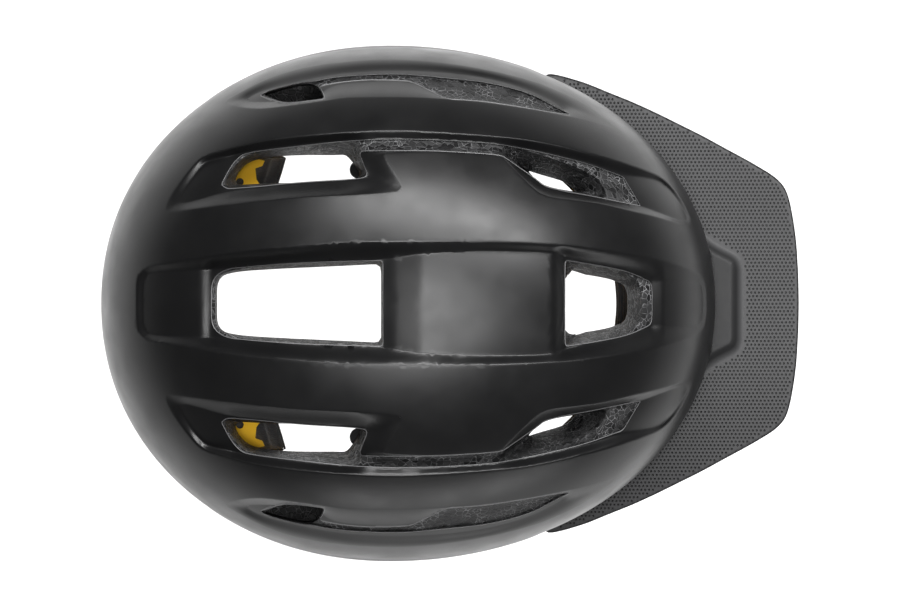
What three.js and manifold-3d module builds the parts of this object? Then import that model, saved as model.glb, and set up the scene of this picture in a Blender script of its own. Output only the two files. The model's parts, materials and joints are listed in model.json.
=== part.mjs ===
// A cycling helmet with a push-fit visor: in-mould shells on a foam liner, a slip liner on elastic
// anchors, pads, a dial-adjusted head cradle, and a chin strap with a side-release buckle.
//
// Millimetres, +Z up, +X towards the visor, +Y towards the wearer's left. The origin is the centre of the
// head opening, at the level where the shell is widest.
import * as THREE from "three";
import { mergeVertices } from "three/addons/utils/BufferGeometryUtils.js";
import Module from "manifold-3d";

const wasm = await Module();
wasm.setup();

// ---------------------------------------------------------------- driving dimensions
const GAP = 0.3; // clearance between two pieces that touch
const FINENESS = 0.1; // slivers flatter than this are merged away
const SHELL = { xc: -3.4, front: 138.9, rear: 125.1, half: 110.2, crown: 104, low: 120, round: 2.25 };
const CAVITY = { xc: -3, front: 106, rear: 104, half: 86, crown: 78, low: 150, round: 2.1 };
const SQUARE = 2.08; // exponent of the plan outline: 2 is an ellipse
const SKIN = 1.8; // microshell thickness
const CHANNEL_DEPTH = 6; // air channels sunk into the outer surface
const SHELL_EDGE_Z = -5; // lower edge of the upper shell
const BROW_STEP = 3; // the brow is set back by this much to take the visor
const SIDE_BULGE = 1.6; // the lower shell stands out by this much beside the ears
const LIP = { high: 2, deep: 6 }; // the lower shell folds under the foam
const FOAM_SLACK = 1; // the foam stands this much further in below the upper shell
const AROUND = 36; // facets round the domes
const OVER = 130; // a height above everything, for tools that cut from the top
const TAPER = 2.5; // how quickly the plan changes from its rear half to its front half
const ROWS = 7; // rows of facets from the crown down to the widest line

const SLIP = { gap: 1.6, skin: 1, lowZ: 7 };
const PAD = { gap: 0.4, thick: 6 };

const PIVOT = { x: 50, z: -14, r: 2.5 }; // temple posts that the head cradle turns on
const DIAL = { x: -101, z: -62, pitchR: 5, teeth: 12, knobR: 13 };
const BAND = { thick: 1.6, high: 10, low: 2.4 };

const WEB = { wide: 15, thick: 1.6, chin: 2.4 }; // chin is the thickness under the chin
const WEB_ROOM = 0.8; // what a slot for the webbing is larger by
const DIVIDER = { x: 6, y: 80, z: -86 };
const CHIN = { x: 32, z: -150, flat: 57 }; // the chin strap runs level between y = -flat and flat

const COLOURS = {
  shell: [0x222224, 0.5],
  lower: [0x2b2b2d, 0.42],
  foam: [0x3a3a3c, 0.9],
  visor: [0x4a4a4c, 0.6],
  slip: [0xd9a21b, 0.5],
  anchor: [0x1c1c1e, 0.7],
  pad: [0x19191b, 0.95],
  web: [0x161618, 0.9],
  nylon: [0x1b1b1d, 0.5],
  steel: [0x9a9da0, 0.3, 1],
};

const SIDES = { left: 1, right: -1 };

// ---------------------------------------------------------------- outlines, in plan, for the +Y side
// Each air channel is a closed outline; each vent opening in the shell is another inside it.
const CHANNEL_A = [
  [-111, 12], [-80, 20], [-50, 24], [-20, 26], [40, 26.3], [75, 24], [105, 20], [120, 16], [130, 10],
];
const CHANNEL_B = [
  [-100, 38.5], [-60, 43], [-3, 47], [1, 49.5], [-7.5, 64.3], [35, 63.3], [42, 62], [56, 48.5],
  [62, 45.2], [95, 40.5], [126, 32], [120, 45], [110, 55.5], [80, 64.5], [40, 71], [0, 73],
  [-40, 71], [-80, 64], [-92, 53],
];
const CHANNEL_C = [
  [-78, 85], [-60, 82.5], [-20, 86.5], [18, 86.7], [60, 82], [93, 74.3], [70, 87], [40, 97], [0, 101],
  [-30, 98.5], [-60, 90.5],
];
const VENT_A_REAR = [[-79.5, -12], [-74, -15], [-20, -17.7], [-7, -18.2], [-6.5, -16]];
const VENT_A_FRONT = [[70, -18.5], [90, -15], [107, -9.3]];
const VENT_B = [
  [-75, 49.5], [-72, 48.3], [-15, 51.5], [-13.5, 54], [-15.5, 64.5], [35, 63.3], [44, 62], [58, 52.5],
  [65, 48.5], [103, 42.5], [96, 54.5], [70, 62.5], [39, 68], [0, 70], [-30, 68.5], [-63, 65], [-70, 58],
];
const VENT_C = [
  [-60, 88.5], [-48, 85], [-33, 86], [-31.5, 87.5], [-33.5, 92.5], [5, 94.6], [22, 86.3], [50, 83.7],
  [72, 80.2], [60, 87.5], [35, 94.6], [3, 97.2], [-38, 95],
];
// Openings through the foam, at the head side.
const FOAM_A_REAR = [[-77.5, -11], [-70, -13.5], [-9, -16.5], [-7.8, -15]];
const FOAM_A_FRONT = [[70.5, -13.3], [88, -11], [96, -8]];
const FOAM_B_REAR = [[-70, 50.5], [-17, 52.5], [-17.5, 58], [-23, 63], [-50, 62.5], [-62, 60], [-68, 55]];
const FOAM_B_FRONT = [[54, 57], [60, 51], [66, 49], [76, 47.8], [74, 51], [68, 54.5], [58, 57.5]];
const FOAM_C_REAR = [[-57, 88.3], [-48, 86], [-34, 87], [-36, 92.5], [-42, 92.8]];
const FOAM_C_FRONT = [[12, 92.5], [24, 87.5], [50, 85], [62, 83.5], [52, 88], [30, 93]];

// Height of the helmet's lower rim round the plan: angle in degrees from the front, height in mm.
const RIM = [[0, -19], [30, -23], [62, -34], [92, -25], [130, -36], [180, -47]];

// ---------------------------------------------------------------- small helpers
const V = (x, y, z) => new THREE.Vector3(x, y, z);
const mirrored = (outline) => outline.map(([x, y]) => [x, -y]).reverse();
const symmetric = (half) => [...half, ...mirrored(half)];
// The stretch from y = a to b, or its mirror image, in rising order.
const acrossTo = (side, a, b) => [side * a, side * b].sort((m, n) => m - n);
const smooth = (t) => {
  const c = Math.min(1, Math.max(0, t));
  return c * c * (3 - 2 * c);
};

// Interpolates a short table of [x, value] smoothly between its points.
function fromTable(table, x) {
  const i = Math.max(1, table.findIndex(([at]) => x <= at));
  const [x0, y0] = table[i - 1];
  const [x1, y1] = table[i];
  return y0 + (y1 - y0) * smooth((x - x0) / (x1 - x0));
}

// Moves each corner of a closed outline outwards by d.
function grown(outline, d) {
  const area = THREE.ShapeUtils.area(outline.map(([x, y]) => new THREE.Vector2(x, y)));
  const turn = Math.sign(area);
  return outline.map(([x, y], i) => {
    const [px, py] = outline.at(i - 1);
    const [nx, ny] = outline[(i + 1) % outline.length];
    const a = new THREE.Vector2(y - py, px - x).normalize();
    const b = new THREE.Vector2(ny - y, x - nx).normalize();
    const mid = a.clone().add(b).normalize();
    const reach = (turn * d) / Math.max(0.4, mid.dot(a));
    return [x + mid.x * reach, y + mid.y * reach];
  });
}

function solidOf(geometry) {
  const bare = new THREE.BufferGeometry();
  const flat = geometry.index ? geometry.toNonIndexed() : geometry;
  bare.setAttribute("position", flat.getAttribute("position").clone());
  const merged = mergeVertices(bare, 1e-4);
  const vertProperties = merged.attributes.position.array;
  const triVerts = new Uint32Array(merged.index.array);
  const made = new wasm.Manifold(new wasm.Mesh({ numProp: 3, vertProperties, triVerts }));
  if (made.volume() > 0) return made;
  for (let i = 0; i < triVerts.length; i += 3) {
    [triVerts[i + 1], triVerts[i + 2]] = [triVerts[i + 2], triVerts[i + 1]];
  }
  return new wasm.Manifold(new wasm.Mesh({ numProp: 3, vertProperties, triVerts }));
}

function geometryOf(solid) {
  const mesh = solid.simplify(FINENESS).getMesh();
  const geometry = new THREE.BufferGeometry();
  geometry.setAttribute("position", new THREE.BufferAttribute(mesh.vertProperties, 3));
  geometry.setIndex(new THREE.BufferAttribute(mesh.triVerts, 1));
  geometry.computeVertexNormals();
  return geometry;
}

const joined = (...solids) => solids.reduce((a, b) => a.add(b));
const cut = (solid, ...tools) => tools.reduce((a, b) => a.subtract(b), solid);

// A box between two corners.
function box(x0, x1, y0, y1, z0, z1) {
  const geometry = new THREE.BoxGeometry(x1 - x0, y1 - y0, z1 - z0);
  return solidOf(geometry.translate((x0 + x1) / 2, (y0 + y1) / 2, (z0 + z1) / 2));
}

// A cylinder of radius r from point a to point b.
function rod(r, a, b, sides = 12) {
  const along = b.clone().sub(a);
  const geometry = new THREE.CylinderGeometry(r, r, along.length(), sides);
  const turn = new THREE.Quaternion().setFromUnitVectors(V(0, 1, 0), along.clone().normalize());
  const centre = a.clone().add(b).multiplyScalar(0.5);
  return solidOf(geometry.applyQuaternion(turn).translate(centre.x, centre.y, centre.z));
}

const ring = (outer, inner, a, b, sides = 12) => {
  const over = b.clone().sub(a).setLength(1);
  return rod(outer, a, b, sides).subtract(rod(inner, a.clone().sub(over), b.clone().add(over), sides));
};

// An upright prism on a closed plan outline.
function prism(outline, z0, z1) {
  const shape = new THREE.Shape(outline.map(([x, y]) => new THREE.Vector2(x, y)));
  const geometry = new THREE.ExtrudeGeometry(shape, { depth: z1 - z0, bevelEnabled: false });
  return solidOf(geometry.translate(0, 0, z0));
}

const bothSides = (outline, z0, z1) => prism(outline, z0, z1).add(prism(mirrored(outline), z0, z1));

// A closed solid through a row of loops with equal numbers of points, capped at both ends.
function loft(loops) {
  const n = loops[0].length;
  const positions = loops.flat().flatMap((p) => [p.x, p.y, p.z]);
  const index = [];
  for (let i = 0; i + 1 < loops.length; i++) {
    for (let j = 0; j < n; j++) {
      const a = i * n + j;
      const b = i * n + ((j + 1) % n);
      index.push(a, b, a + n, b, b + n, a + n);
    }
  }
  const last = (loops.length - 1) * n;
  for (let j = 1; j + 1 < n; j++) {
    index.push(0, j + 1, j, last, last + j, last + j + 1);
  }
  const geometry = new THREE.BufferGeometry();
  geometry.setAttribute("position", new THREE.Float32BufferAttribute(positions, 3));
  return solidOf(geometry.setIndex(index));
}

// A closed solid between two surfaces, each given at (i / nu, j / nv).
function sheet(upper, lower, nu, nv) {
  const positions = [];
  const index = [];
  const at = (side, i, j) => (side * (nu + 1) + i) * (nv + 1) + j;
  for (const surface of [upper, lower]) {
    for (let i = 0; i <= nu; i++) {
      for (let j = 0; j <= nv; j++) positions.push(...surface(i / nu, j / nv).toArray());
    }
  }
  const quad = (a, b, c, d) => index.push(a, b, c, a, c, d);
  for (let i = 0; i < nu; i++) {
    for (let j = 0; j < nv; j++) {
      quad(at(0, i, j), at(0, i + 1, j), at(0, i + 1, j + 1), at(0, i, j + 1));
      quad(at(1, i, j + 1), at(1, i + 1, j + 1), at(1, i + 1, j), at(1, i, j));
    }
  }
  for (let i = 0; i < nu; i++) {
    quad(at(0, i, 0), at(1, i, 0), at(1, i + 1, 0), at(0, i + 1, 0));
    quad(at(0, i + 1, nv), at(1, i + 1, nv), at(1, i, nv), at(0, i, nv));
  }
  for (let j = 0; j < nv; j++) {
    quad(at(0, 0, j + 1), at(1, 0, j + 1), at(1, 0, j), at(0, 0, j));
    quad(at(0, nu, j), at(1, nu, j), at(1, nu, j + 1), at(0, nu, j + 1));
  }
  const geometry = new THREE.BufferGeometry();
  geometry.setAttribute("position", new THREE.Float32BufferAttribute(positions, 3));
  return solidOf(geometry.setIndex(index));
}

// A flat strap along a curve, with its width given at each share of the way, and across its direction.
function ribbon(curve, wideAt, thick, steps, across) {
  const loops = [];
  for (let i = 0; i <= steps; i++) {
    const t = i / steps;
    const p = curve.getPoint(t);
    const ahead = curve.getTangent(t);
    const wide = wideAt(t);
    const side = across.clone().addScaledVector(ahead, -across.dot(ahead)).normalize();
    const up = new THREE.Vector3().crossVectors(ahead, side);
    const corner = (s, u) =>
      p.clone().addScaledVector(side, (s * wide) / 2).addScaledVector(up, (u * thick) / 2);
    loops.push([corner(-1, -1), corner(1, -1), corner(1, 1), corner(-1, 1)]);
  }
  return loft(loops);
}

const even = (wide) => () => wide;

// A line through points, its corners rounded off by the given reach along each side.
function rounded(points, reach) {
  const path = new THREE.CurvePath();
  let from = points[0];
  for (let i = 1; i + 1 < points.length; i++) {
    const into = points[i - 1].clone().sub(points[i]).setLength(reach).add(points[i]);
    const out = points[i + 1].clone().sub(points[i]).setLength(reach).add(points[i]);
    path.add(new THREE.LineCurve3(from, into));
    path.add(new THREE.QuadraticBezierCurve3(into, points[i], out));
    from = out;
  }
  path.add(new THREE.LineCurve3(from, points.at(-1)));
  return path;
}

// ---------------------------------------------------------------- the helmet's own surfaces
const rimZ = (theta) => fromTable(RIM, Math.abs(THREE.MathUtils.radToDeg(theta)));

// How far the brow is set back below the shell's edge, at an angle from the front.
const browStep = (theta) => BROW_STEP * (1 - smooth((Math.abs(theta) - 0.85) / 0.3));

// The plan outline at an angle, scaled by share and drawn in by inset.
function planPoint(form, theta, share, inset) {
  const c = Math.cos(theta);
  const s = Math.sin(theta);
  const k = (Math.abs(c) ** SQUARE + Math.abs(s) ** SQUARE) ** (-1 / SQUARE);
  const u = share * k * c;
  const mid = (form.front + form.rear) / 2;
  const lean = (form.front - form.rear) / 2;
  const reach = mid + (lean * Math.tanh(TAPER * u)) / Math.tanh(TAPER);
  return [form.xc + (reach - inset) * u, (form.half - inset) * share * k * s];
}

// A point of the dome: t runs from 0 at the crown to 1 at the widest line. Below that, z is given.
function domePoint(form, theta, t, inset) {
  const angle = (t * Math.PI) / 2;
  const share = Math.sin(angle) ** (2 / form.round);
  const [x, y] = planPoint(form, theta, share, inset);
  return V(x, y, (form.crown - inset) * Math.max(0, Math.cos(angle)) ** (2 / form.round));
}

function skirtPoint(form, theta, z, inset) {
  const step = form === SHELL ? browStep(theta) * smooth((-1 - z) / 4) : 0;
  const [x, y] = planPoint(form, theta, Math.sqrt(1 - (z / form.low) ** 2), inset + step);
  return V(x, y, z);
}

// How far down the skirt its rows lie: at the upper shell's edge, part of the way on, and at the bottom.
const skirtRows = (bottom) => [0, 0.35, 1].map((share) => SHELL_EDGE_Z + (bottom - SHELL_EDGE_Z) * share);

// A closed dome down to a lower edge, whose height is bottom(theta). The skirt stands in by slack.
function dome(form, inset, bottom, rows = ROWS, slack = 0) {
  const loops = [];
  for (let i = 1; i <= rows; i++) {
    const t = (i / rows) ** 0.9;
    loops.push((theta) => domePoint(form, theta, t, inset));
  }
  const skirts = bottom(0) < SHELL_EDGE_Z ? [0, 1, 2] : [0];
  for (const row of skirts) {
    loops.push((theta) => skirtPoint(form, theta, skirtRows(bottom(theta))[row], inset + slack));
  }
  const positions = [form.xc, 0, form.crown - inset];
  for (const loop of loops) {
    for (let j = 0; j < AROUND; j++) positions.push(...loop(angleAt(j / AROUND)).toArray());
  }
  positions.push(form.xc, 0, bottom(0));
  const index = [];
  const at = (i, j) => 1 + i * AROUND + (j % AROUND);
  const end = 1 + loops.length * AROUND;
  for (let j = 0; j < AROUND; j++) {
    index.push(0, at(0, j), at(0, j + 1), end, at(loops.length - 1, j + 1), at(loops.length - 1, j));
    for (let i = 0; i + 1 < loops.length; i++) {
      index.push(at(i, j), at(i + 1, j), at(i, j + 1), at(i, j + 1), at(i + 1, j), at(i + 1, j + 1));
    }
  }
  const geometry = new THREE.BufferGeometry();
  geometry.setAttribute("position", new THREE.Float32BufferAttribute(positions, 3));
  return solidOf(geometry.setIndex(index));
}

const angleAt = (share) => share * 2 * Math.PI - Math.PI;

// A dome with the air channels sunk into it.
function channelled(inset, bottom, slack = 0) {
  const above = [0, OVER];
  const channels = joined(
    prism(symmetric(grown(CHANNEL_A, inset).map(([x, y]) => [x, -y])), ...above),
    bothSides(grown(CHANNEL_B, inset), ...above),
    bothSides(grown(CHANNEL_C, inset), ...above),
  );
  const sunk = dome(SHELL, inset + CHANNEL_DEPTH, bottom);
  return cut(dome(SHELL, inset, bottom, ROWS, slack), channels.subtract(sunk));
}

const shellVents = () =>
  joined(
    prism(symmetric(VENT_A_REAR), 0, OVER),
    prism(symmetric(VENT_A_FRONT), 0, OVER),
    bothSides(VENT_B, 0, OVER),
    bothSides(VENT_C, 0, OVER),
  );

const foamVents = (grow) =>
  joined(
    prism(symmetric(grown(FOAM_A_REAR, grow)), 0, OVER),
    prism(symmetric(grown(FOAM_A_FRONT, grow)), 0, OVER),
    bothSides(grown(FOAM_B_REAR, grow), 0, OVER),
    bothSides(grown(FOAM_B_FRONT, grow), 0, OVER),
    bothSides(grown(FOAM_C_REAR, grow), 30, OVER),
  );

// ---------------------------------------------------------------- shells and foam
const outerShell = () =>
  cut(channelled(0, () => SHELL_EDGE_Z), channelled(SKIN, () => SHELL_EDGE_Z - 6), shellVents());

// The lower shell: a band from the upper shell's edge down to the rim, with a lip under the foam.
function lowerShell() {
  const bulge = (theta) => SIDE_BULGE * (1 - smooth((Math.abs(Math.abs(theta) - 1.65) - 0.55) / 0.25));
  const loops = [];
  for (let i = 0; i < AROUND; i++) {
    const theta = angleAt(i / AROUND);
    const [, mid, rim] = skirtRows(rimZ(theta));
    const top = SHELL_EDGE_Z - GAP;
    const lip = rim + LIP.high - GAP;
    loops.push([
      skirtPoint(SHELL, theta, top, 0),
      skirtPoint(SHELL, theta, mid, -bulge(theta)),
      skirtPoint(SHELL, theta, rim, 0),
      skirtPoint(SHELL, theta, rim, LIP.deep),
      skirtPoint(SHELL, theta, lip, LIP.deep),
      skirtPoint(SHELL, theta, lip, SKIN),
      skirtPoint(SHELL, theta, mid, SKIN),
      skirtPoint(SHELL, theta, top, SKIN),
    ]);
  }
  return closedLoft(loops);
}

// A ring-shaped solid: like loft, but its last loop joins its first.
function closedLoft(loops) {
  const n = loops[0].length;
  const index = [];
  loops.forEach((_, i) => {
    const next = ((i + 1) % loops.length) * n;
    for (let j = 0; j < n; j++) {
      const k = (j + 1) % n;
      index.push(i * n + j, i * n + k, next + j, i * n + k, next + k, next + j);
    }
  });
  const geometry = new THREE.BufferGeometry();
  const positions = loops.flat().flatMap((p) => [p.x, p.y, p.z]);
  geometry.setAttribute("position", new THREE.Float32BufferAttribute(positions, 3));
  return solidOf(geometry.setIndex(index));
}

const headCavity = () => dome(CAVITY, 0, () => -90);

const foamBlank = () => channelled(SKIN + GAP, (theta) => rimZ(theta) + LIP.high, FOAM_SLACK);

const foamLiner = () =>
  cut(
    foamBlank(),
    headCavity(),
    foamVents(0),
    bothSides(FOAM_C_FRONT, 62, OVER),
  );

// ---------------------------------------------------------------- slip liner and pads
const SLIP_ANCHORS = [
  { name: "front", x: 66, y: 34 },
  { name: "rear", x: -82, y: 44 },
];
const ANCHOR_STEM = 2.2;
const SIDE_WINDOW = [[-44, 66], [24, 70], [24, 76], [-44, 74]];
// The liner closes the rear end of each rear side vent, and has a small hole there.
const SLIP_B_REAR = [[-60.6, 48], [-14, 50], [-14, 60], [-22, 66], [-50, 66], [-60.6, 62]];
const SLIP_HOLE = { x: -68.2, y: 51.8, r: 1.7 };

function slipLiner() {
  const windows = [
    prism(symmetric(grown(FOAM_A_REAR, 3)), 0, OVER),
    prism(symmetric(grown(FOAM_A_FRONT, 3)), 0, OVER),
    bothSides(grown(FOAM_B_FRONT, 3), 0, OVER),
    bothSides(SLIP_B_REAR, 0, OVER),
    bothSides(SIDE_WINDOW, 0, OVER),
  ];
  const holes = Object.values(SIDES).flatMap((side) => {
    const { x, y, r } = SLIP_HOLE;
    const pierced = rod(r, V(x, side * y, 0), V(x, side * y, 90), 10);
    return [pierced, ...SLIP_ANCHORS.map((anchor) => anchorRod(anchor, side, ANCHOR_STEM + GAP, -6, 6))];
  });
  return cut(
    dome(CAVITY, SLIP.gap, () => -10),
    dome(CAVITY, SLIP.gap + SLIP.skin, () => -20),
    box(-140, 140, -120, 120, -60, SLIP.lowZ),
    ...windows,
    ...holes,
  );
}

// Height of the head side of the cavity above a plan point, drawn in by inset.
function cavityHeight(x, y, inset) {
  const reach = (x > CAVITY.xc ? CAVITY.front : CAVITY.rear) - inset;
  const share = Math.hypot((x - CAVITY.xc) / reach, y / (CAVITY.half - inset));
  return (CAVITY.crown - inset) * Math.max(0, 1 - share ** CAVITY.round) ** (1 / CAVITY.round);
}

const padOutside = SLIP.gap + SLIP.skin + PAD.gap;

// A crown pad on a plan rectangle.
function crownPad(x0, x1, y0, y1) {
  const face = (inset) => (u, v) => {
    const x = x0 + (x1 - x0) * u;
    const y = y0 + (y1 - y0) * v;
    return V(x, y, cavityHeight(x, y, inset));
  };
  return sheet(face(padOutside + 0.6), face(padOutside + PAD.thick), 8, 3);
}

// A pad on the steep part of the cavity, between two angles and two shares of the way down.
function wallPad(theta0, theta1, t0, t1) {
  const face = (inset) => (u, v) =>
    domePoint(CAVITY, theta0 + (theta1 - theta0) * u, t0 + (t1 - t0) * v, inset);
  return sheet(face(padOutside + 0.8), face(padOutside + PAD.thick), 10, 3);
}

// A rod square to the slip liner at one of its anchors, between two heights above its outer face.
function anchorRod({ x, y }, side, r, low, high) {
  const at = V(x, side * y, cavityHeight(x, y, SLIP.gap));
  const ahead = V(x + 1, side * y, cavityHeight(x + 1, y, SLIP.gap)).sub(at);
  const aside = V(x, side * y + 1, cavityHeight(x, side * y + 1, SLIP.gap)).sub(at);
  const out = ahead.cross(aside).normalize();
  const place = (d) => at.clone().addScaledVector(out, d);
  return rod(r, place(low), place(high), 10);
}

// An elastic anchor: a button under the slip liner, on a stem that goes through it towards the foam.
const slipAnchor = (anchor, side) =>
  joined(anchorRod(anchor, side, 6, -3.6, -1.6), anchorRod(anchor, side, ANCHOR_STEM, -2, 0.8));

// ---------------------------------------------------------------- visor
const VISOR = { thick: 2.4, arch: 13, rootZ: -4, rise: 0.05 };
const VISOR_EDGE = [
  [62, 99.2], [80, 95], [100, 87], [130, 72.5], [158, 57], [165, 50.5], [167.5, 42], [171, 15],
  [171.6, 0],
];
const POSTS = [
  { name: "centre", y: 0 },
  { name: "left", y: 62 },
  { name: "right", y: -62 },
];
const POST = { r: 2, head: 2.7, z: -10.5, socket: 4.4, deep: 13 };

const visorZ = (x, y) => VISOR.rootZ - VISOR.arch * (y / 100) ** 2 + VISOR.rise * (x - 133);

// The visor's root sits under the upper shell's edge, clear of the brow.
function browPoint(theta, clear) {
  const [x, y] = planPoint(SHELL, theta, 0.9985, browStep(theta) - clear);
  return V(x, y, 0);
}

function browX(y) {
  let theta = 0;
  while (browPoint(theta, 0).y < Math.abs(y)) theta += 0.002;
  return browPoint(theta, 0).x;
}

function visorPlate() {
  const edge = new THREE.SplineCurve(VISOR_EDGE.map(([x, y]) => new THREE.Vector2(x, y)));
  const last = 0.98;
  const top = (u, v) => {
    const side = u < 0.5 ? 1 : -1;
    const share = 1 - Math.abs(2 * u - 1);
    const root = browPoint(last * (1 - share), 0.7);
    const lip = edge.getPoint(share);
    const x = root.x + (lip.x - root.x) * v;
    const y = side * (root.y + (lip.y - root.y) * v);
    return V(x, y, visorZ(x, y));
  };
  return sheet(top, (u, v) => top(u, v).setZ(top(u, v).z - VISOR.thick), 40, 4);
}

// The three tabs under the visor's root that carry its posts.
const TAB = { half: 6, back: 2, front: 3.6, below: 3.2 };

function visorBody() {
  const tabs = POSTS.map(({ y }) => {
    const back = browX(Math.abs(y) + TAB.half) + TAB.back;
    const front = browX(Math.max(0, Math.abs(y) - TAB.half)) + TAB.front;
    return box(back, front, y - TAB.half, y + TAB.half, POST.z - TAB.below, visorZ(back, y) - 1);
  });
  const clear = tabs.map((tab) => cut(tab, dome(SHELL, -0.5, () => -30, 3)));
  const bores = POSTS.map(({ y }) => postRod(y, POST.r + GAP, -POST.deep, 12));
  return cut(joined(visorPlate(), ...clear), ...bores);
}

// A rod on a post's axis, from x0 to x1 as measured forwards from the brow.
const postRod = (y, r, x0, x1) => rod(r, V(browX(y) + x0, y, POST.z), V(browX(y) + x1, y, POST.z), 12);

const visorPost = (y) => joined(postRod(y, POST.r, -10.2, 2.8), postRod(y, POST.head, -9.4, -7.4));

const visorSocket = (y) =>
  cut(postRod(y, POST.socket, -POST.deep, 2), postRod(y, POST.head + GAP, -20, 4)).intersect(
    dome(SHELL, SKIN + GAP, rimZ, 3, FOAM_SLACK + 0.4),
  );

// ---------------------------------------------------------------- head cradle
const housingX = [DIAL.x - 5, DIAL.x + 5];

// A toothed bar: teeth on its side towards the pinion, along Y from y0 to y1.
function rackBar(pitchZ, towards, y0, y1) {
  const pitch = (2 * Math.PI * DIAL.pitchR) / DIAL.teeth;
  const shape = new THREE.Shape();
  const back = pitchZ - towards * 3;
  const root = pitchZ - towards * 1;
  const tip = pitchZ + towards * 0.7;
  const first = Math.ceil((y0 + 1) / pitch - 0.5) + 0.5;
  shape.moveTo(y1, back).lineTo(y0, back).lineTo(y0, root);
  for (let k = first; k * pitch < y1 - 1; k++) {
    const y = k * pitch;
    shape.lineTo(y - 0.85, root).lineTo(y - 0.3, tip).lineTo(y + 0.3, tip).lineTo(y + 0.85, root);
  }
  shape.lineTo(y1, root);
  const geometry = new THREE.ExtrudeGeometry(shape, { depth: 2.4, bevelEnabled: false });
  geometry.applyMatrix4(new THREE.Matrix4().makeBasis(V(0, 1, 0), V(0, 0, 1), V(1, 0, 0)));
  return solidOf(geometry.translate(DIAL.x - 1.2, 0, 0));
}

function pinionWheel() {
  const shape = new THREE.Shape();
  const polar = (r, a) => [r * Math.cos(a), r * Math.sin(a)];
  for (let k = 0; k < DIAL.teeth; k++) {
    const a = ((k + 0.5) * 2 * Math.PI) / DIAL.teeth + Math.PI / 2 - Math.PI / DIAL.teeth;
    const corners = [[4, -0.19], [5.6, -0.075], [5.6, 0.075], [4, 0.19]];
    corners.forEach(([r, d], i) => {
      const [y, z] = polar(r, a + d);
      if (k + i === 0) shape.moveTo(y, z);
      else shape.lineTo(y, z);
    });
  }
  const geometry = new THREE.ExtrudeGeometry(shape, { depth: 3, bevelEnabled: false });
  geometry.applyMatrix4(new THREE.Matrix4().makeBasis(V(0, 1, 0), V(0, 0, 1), V(1, 0, 0)));
  return solidOf(geometry.translate(DIAL.x - 1.5, 0, DIAL.z));
}

const SHAFT = 2.4; // radius of the pinion's shaft
const SCREW = { r: 1.4, head: 2.8 };

const dialPinion = () => joined(pinionWheel(), dialRod(SHAFT, -9.6, 2));

function dialKnob() {
  const [back, front] = [-15.5, -6];
  const away = DIAL.knobR + 1.4;
  const grips = Array.from({ length: 12 }, (_, k) => {
    const a = (k * Math.PI) / 6;
    const at = (x) => V(DIAL.x + x, away * Math.cos(a), DIAL.z + away * Math.sin(a));
    return rod(2.4, at(back - 1), at(front + 1), 8);
  });
  const bore = dialRod(SHAFT + GAP, -10, front + 1);
  const screwHole = dialRod(SCREW.r + GAP, back - 1, front, 10);
  const headHole = dialRod(SCREW.head + GAP, back - 1, back + 2);
  return cut(dialRod(DIAL.knobR, back, front, 24), bore, screwHole, headHole, ...grips);
}

const dialScrew = () => joined(dialRod(SCREW.head, -15.2, -13.8), dialRod(SCREW.r, -14, -10, 10));

const HOUSING = [
  [-26, -6], [-18, -13.5], [18, -13.5], [26, -6], [26, 6], [18, 13.5], [-18, 13.5], [-26, 6],
];

const housingBlock = (x0, x1) => {
  const shape = new THREE.Shape(HOUSING.map(([y, z]) => new THREE.Vector2(y, z)));
  const geometry = new THREE.ExtrudeGeometry(shape, { depth: x1 - x0, bevelEnabled: false });
  geometry.applyMatrix4(new THREE.Matrix4().makeBasis(V(0, 1, 0), V(0, 0, 1), V(1, 0, 0)));
  return solidOf(geometry.translate(x0, 0, DIAL.z));
};

// The room inside the dial housing for the pinion and both racks.
const housingRoom = () =>
  joined(
    dialRod(6.4, -2.2, 2.3, 16),
    box(DIAL.x - 1.7, DIAL.x + 1.7, -40, 40, DIAL.z + 3.8, DIAL.z + 8.5),
    box(DIAL.x - 1.7, DIAL.x + 1.7, -40, 40, DIAL.z - 8.5, DIAL.z - 3.8),
  );

// A rod on the dial's axis, between two distances ahead of the racks.
const dialRod = (r, from, to, sides = 12) =>
  rod(r, V(DIAL.x + from, 0, DIAL.z), V(DIAL.x + to, 0, DIAL.z), sides);

const dialHousing = () =>
  cut(housingBlock(housingX[0], DIAL.x), housingRoom(), dialRod(SHAFT + GAP, -29, 11));

const dialCover = () => cut(housingBlock(DIAL.x + GAP, housingX[1] - 2), housingRoom());

// The cradle: a yoke of two arms and an upright that carry the dial housing.
function cradleYoke() {
  const arm = (side) => {
    const curve = new THREE.CatmullRomCurve3([
      V(-98, side * 10, -43), V(-96, side * 18, -35), V(-93, side * 30, -28), V(-88, side * 40, -27),
    ]);
    return ribbon(curve, even(9), 2, 6, V(0, 1, 0.4 * side));
  };
  const upright = ribbon(new THREE.LineCurve3(V(-98, 0, -46), V(-99, 0, -8)), even(12), 2, 2, V(0, 1, 0));
  const foot = box(-99.2, -96.6, -14, 14, -48.2, -40);
  return joined(arm(1), arm(-1), upright, foot);
}

const cradlePad = (side) => box(-95.5, -91, ...acrossTo(side, 3, 24), DIAL.z - 11, DIAL.z + 11);

// The rail's slot widens into a notch at each of the heights where the cradle clicks.
const NOTCHES = [-10, -15.3, -20.6, -26];
const heightRail = () =>
  cut(
    box(-105.5, -102.5, -7, 7, -36, 2),
    box(-107, -101, -3, 3, -30, -7),
    ...NOTCHES.map((z) => rod(4, V(-107, 0, z), V(-101, 0, z))),
  );

const heightSlider = () => joined(box(-102, -100.4, -8, 8, -14, -6), box(-105, -101, -2.6, 2.6, -12, -8));

const templePost = (side) => {
  const at = (y) => V(PIVOT.x, side * y, PIVOT.z);
  return joined(rod(PIVOT.r, at(66), at(82)), rod(5, at(76.5), at(78.5)));
};

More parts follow.
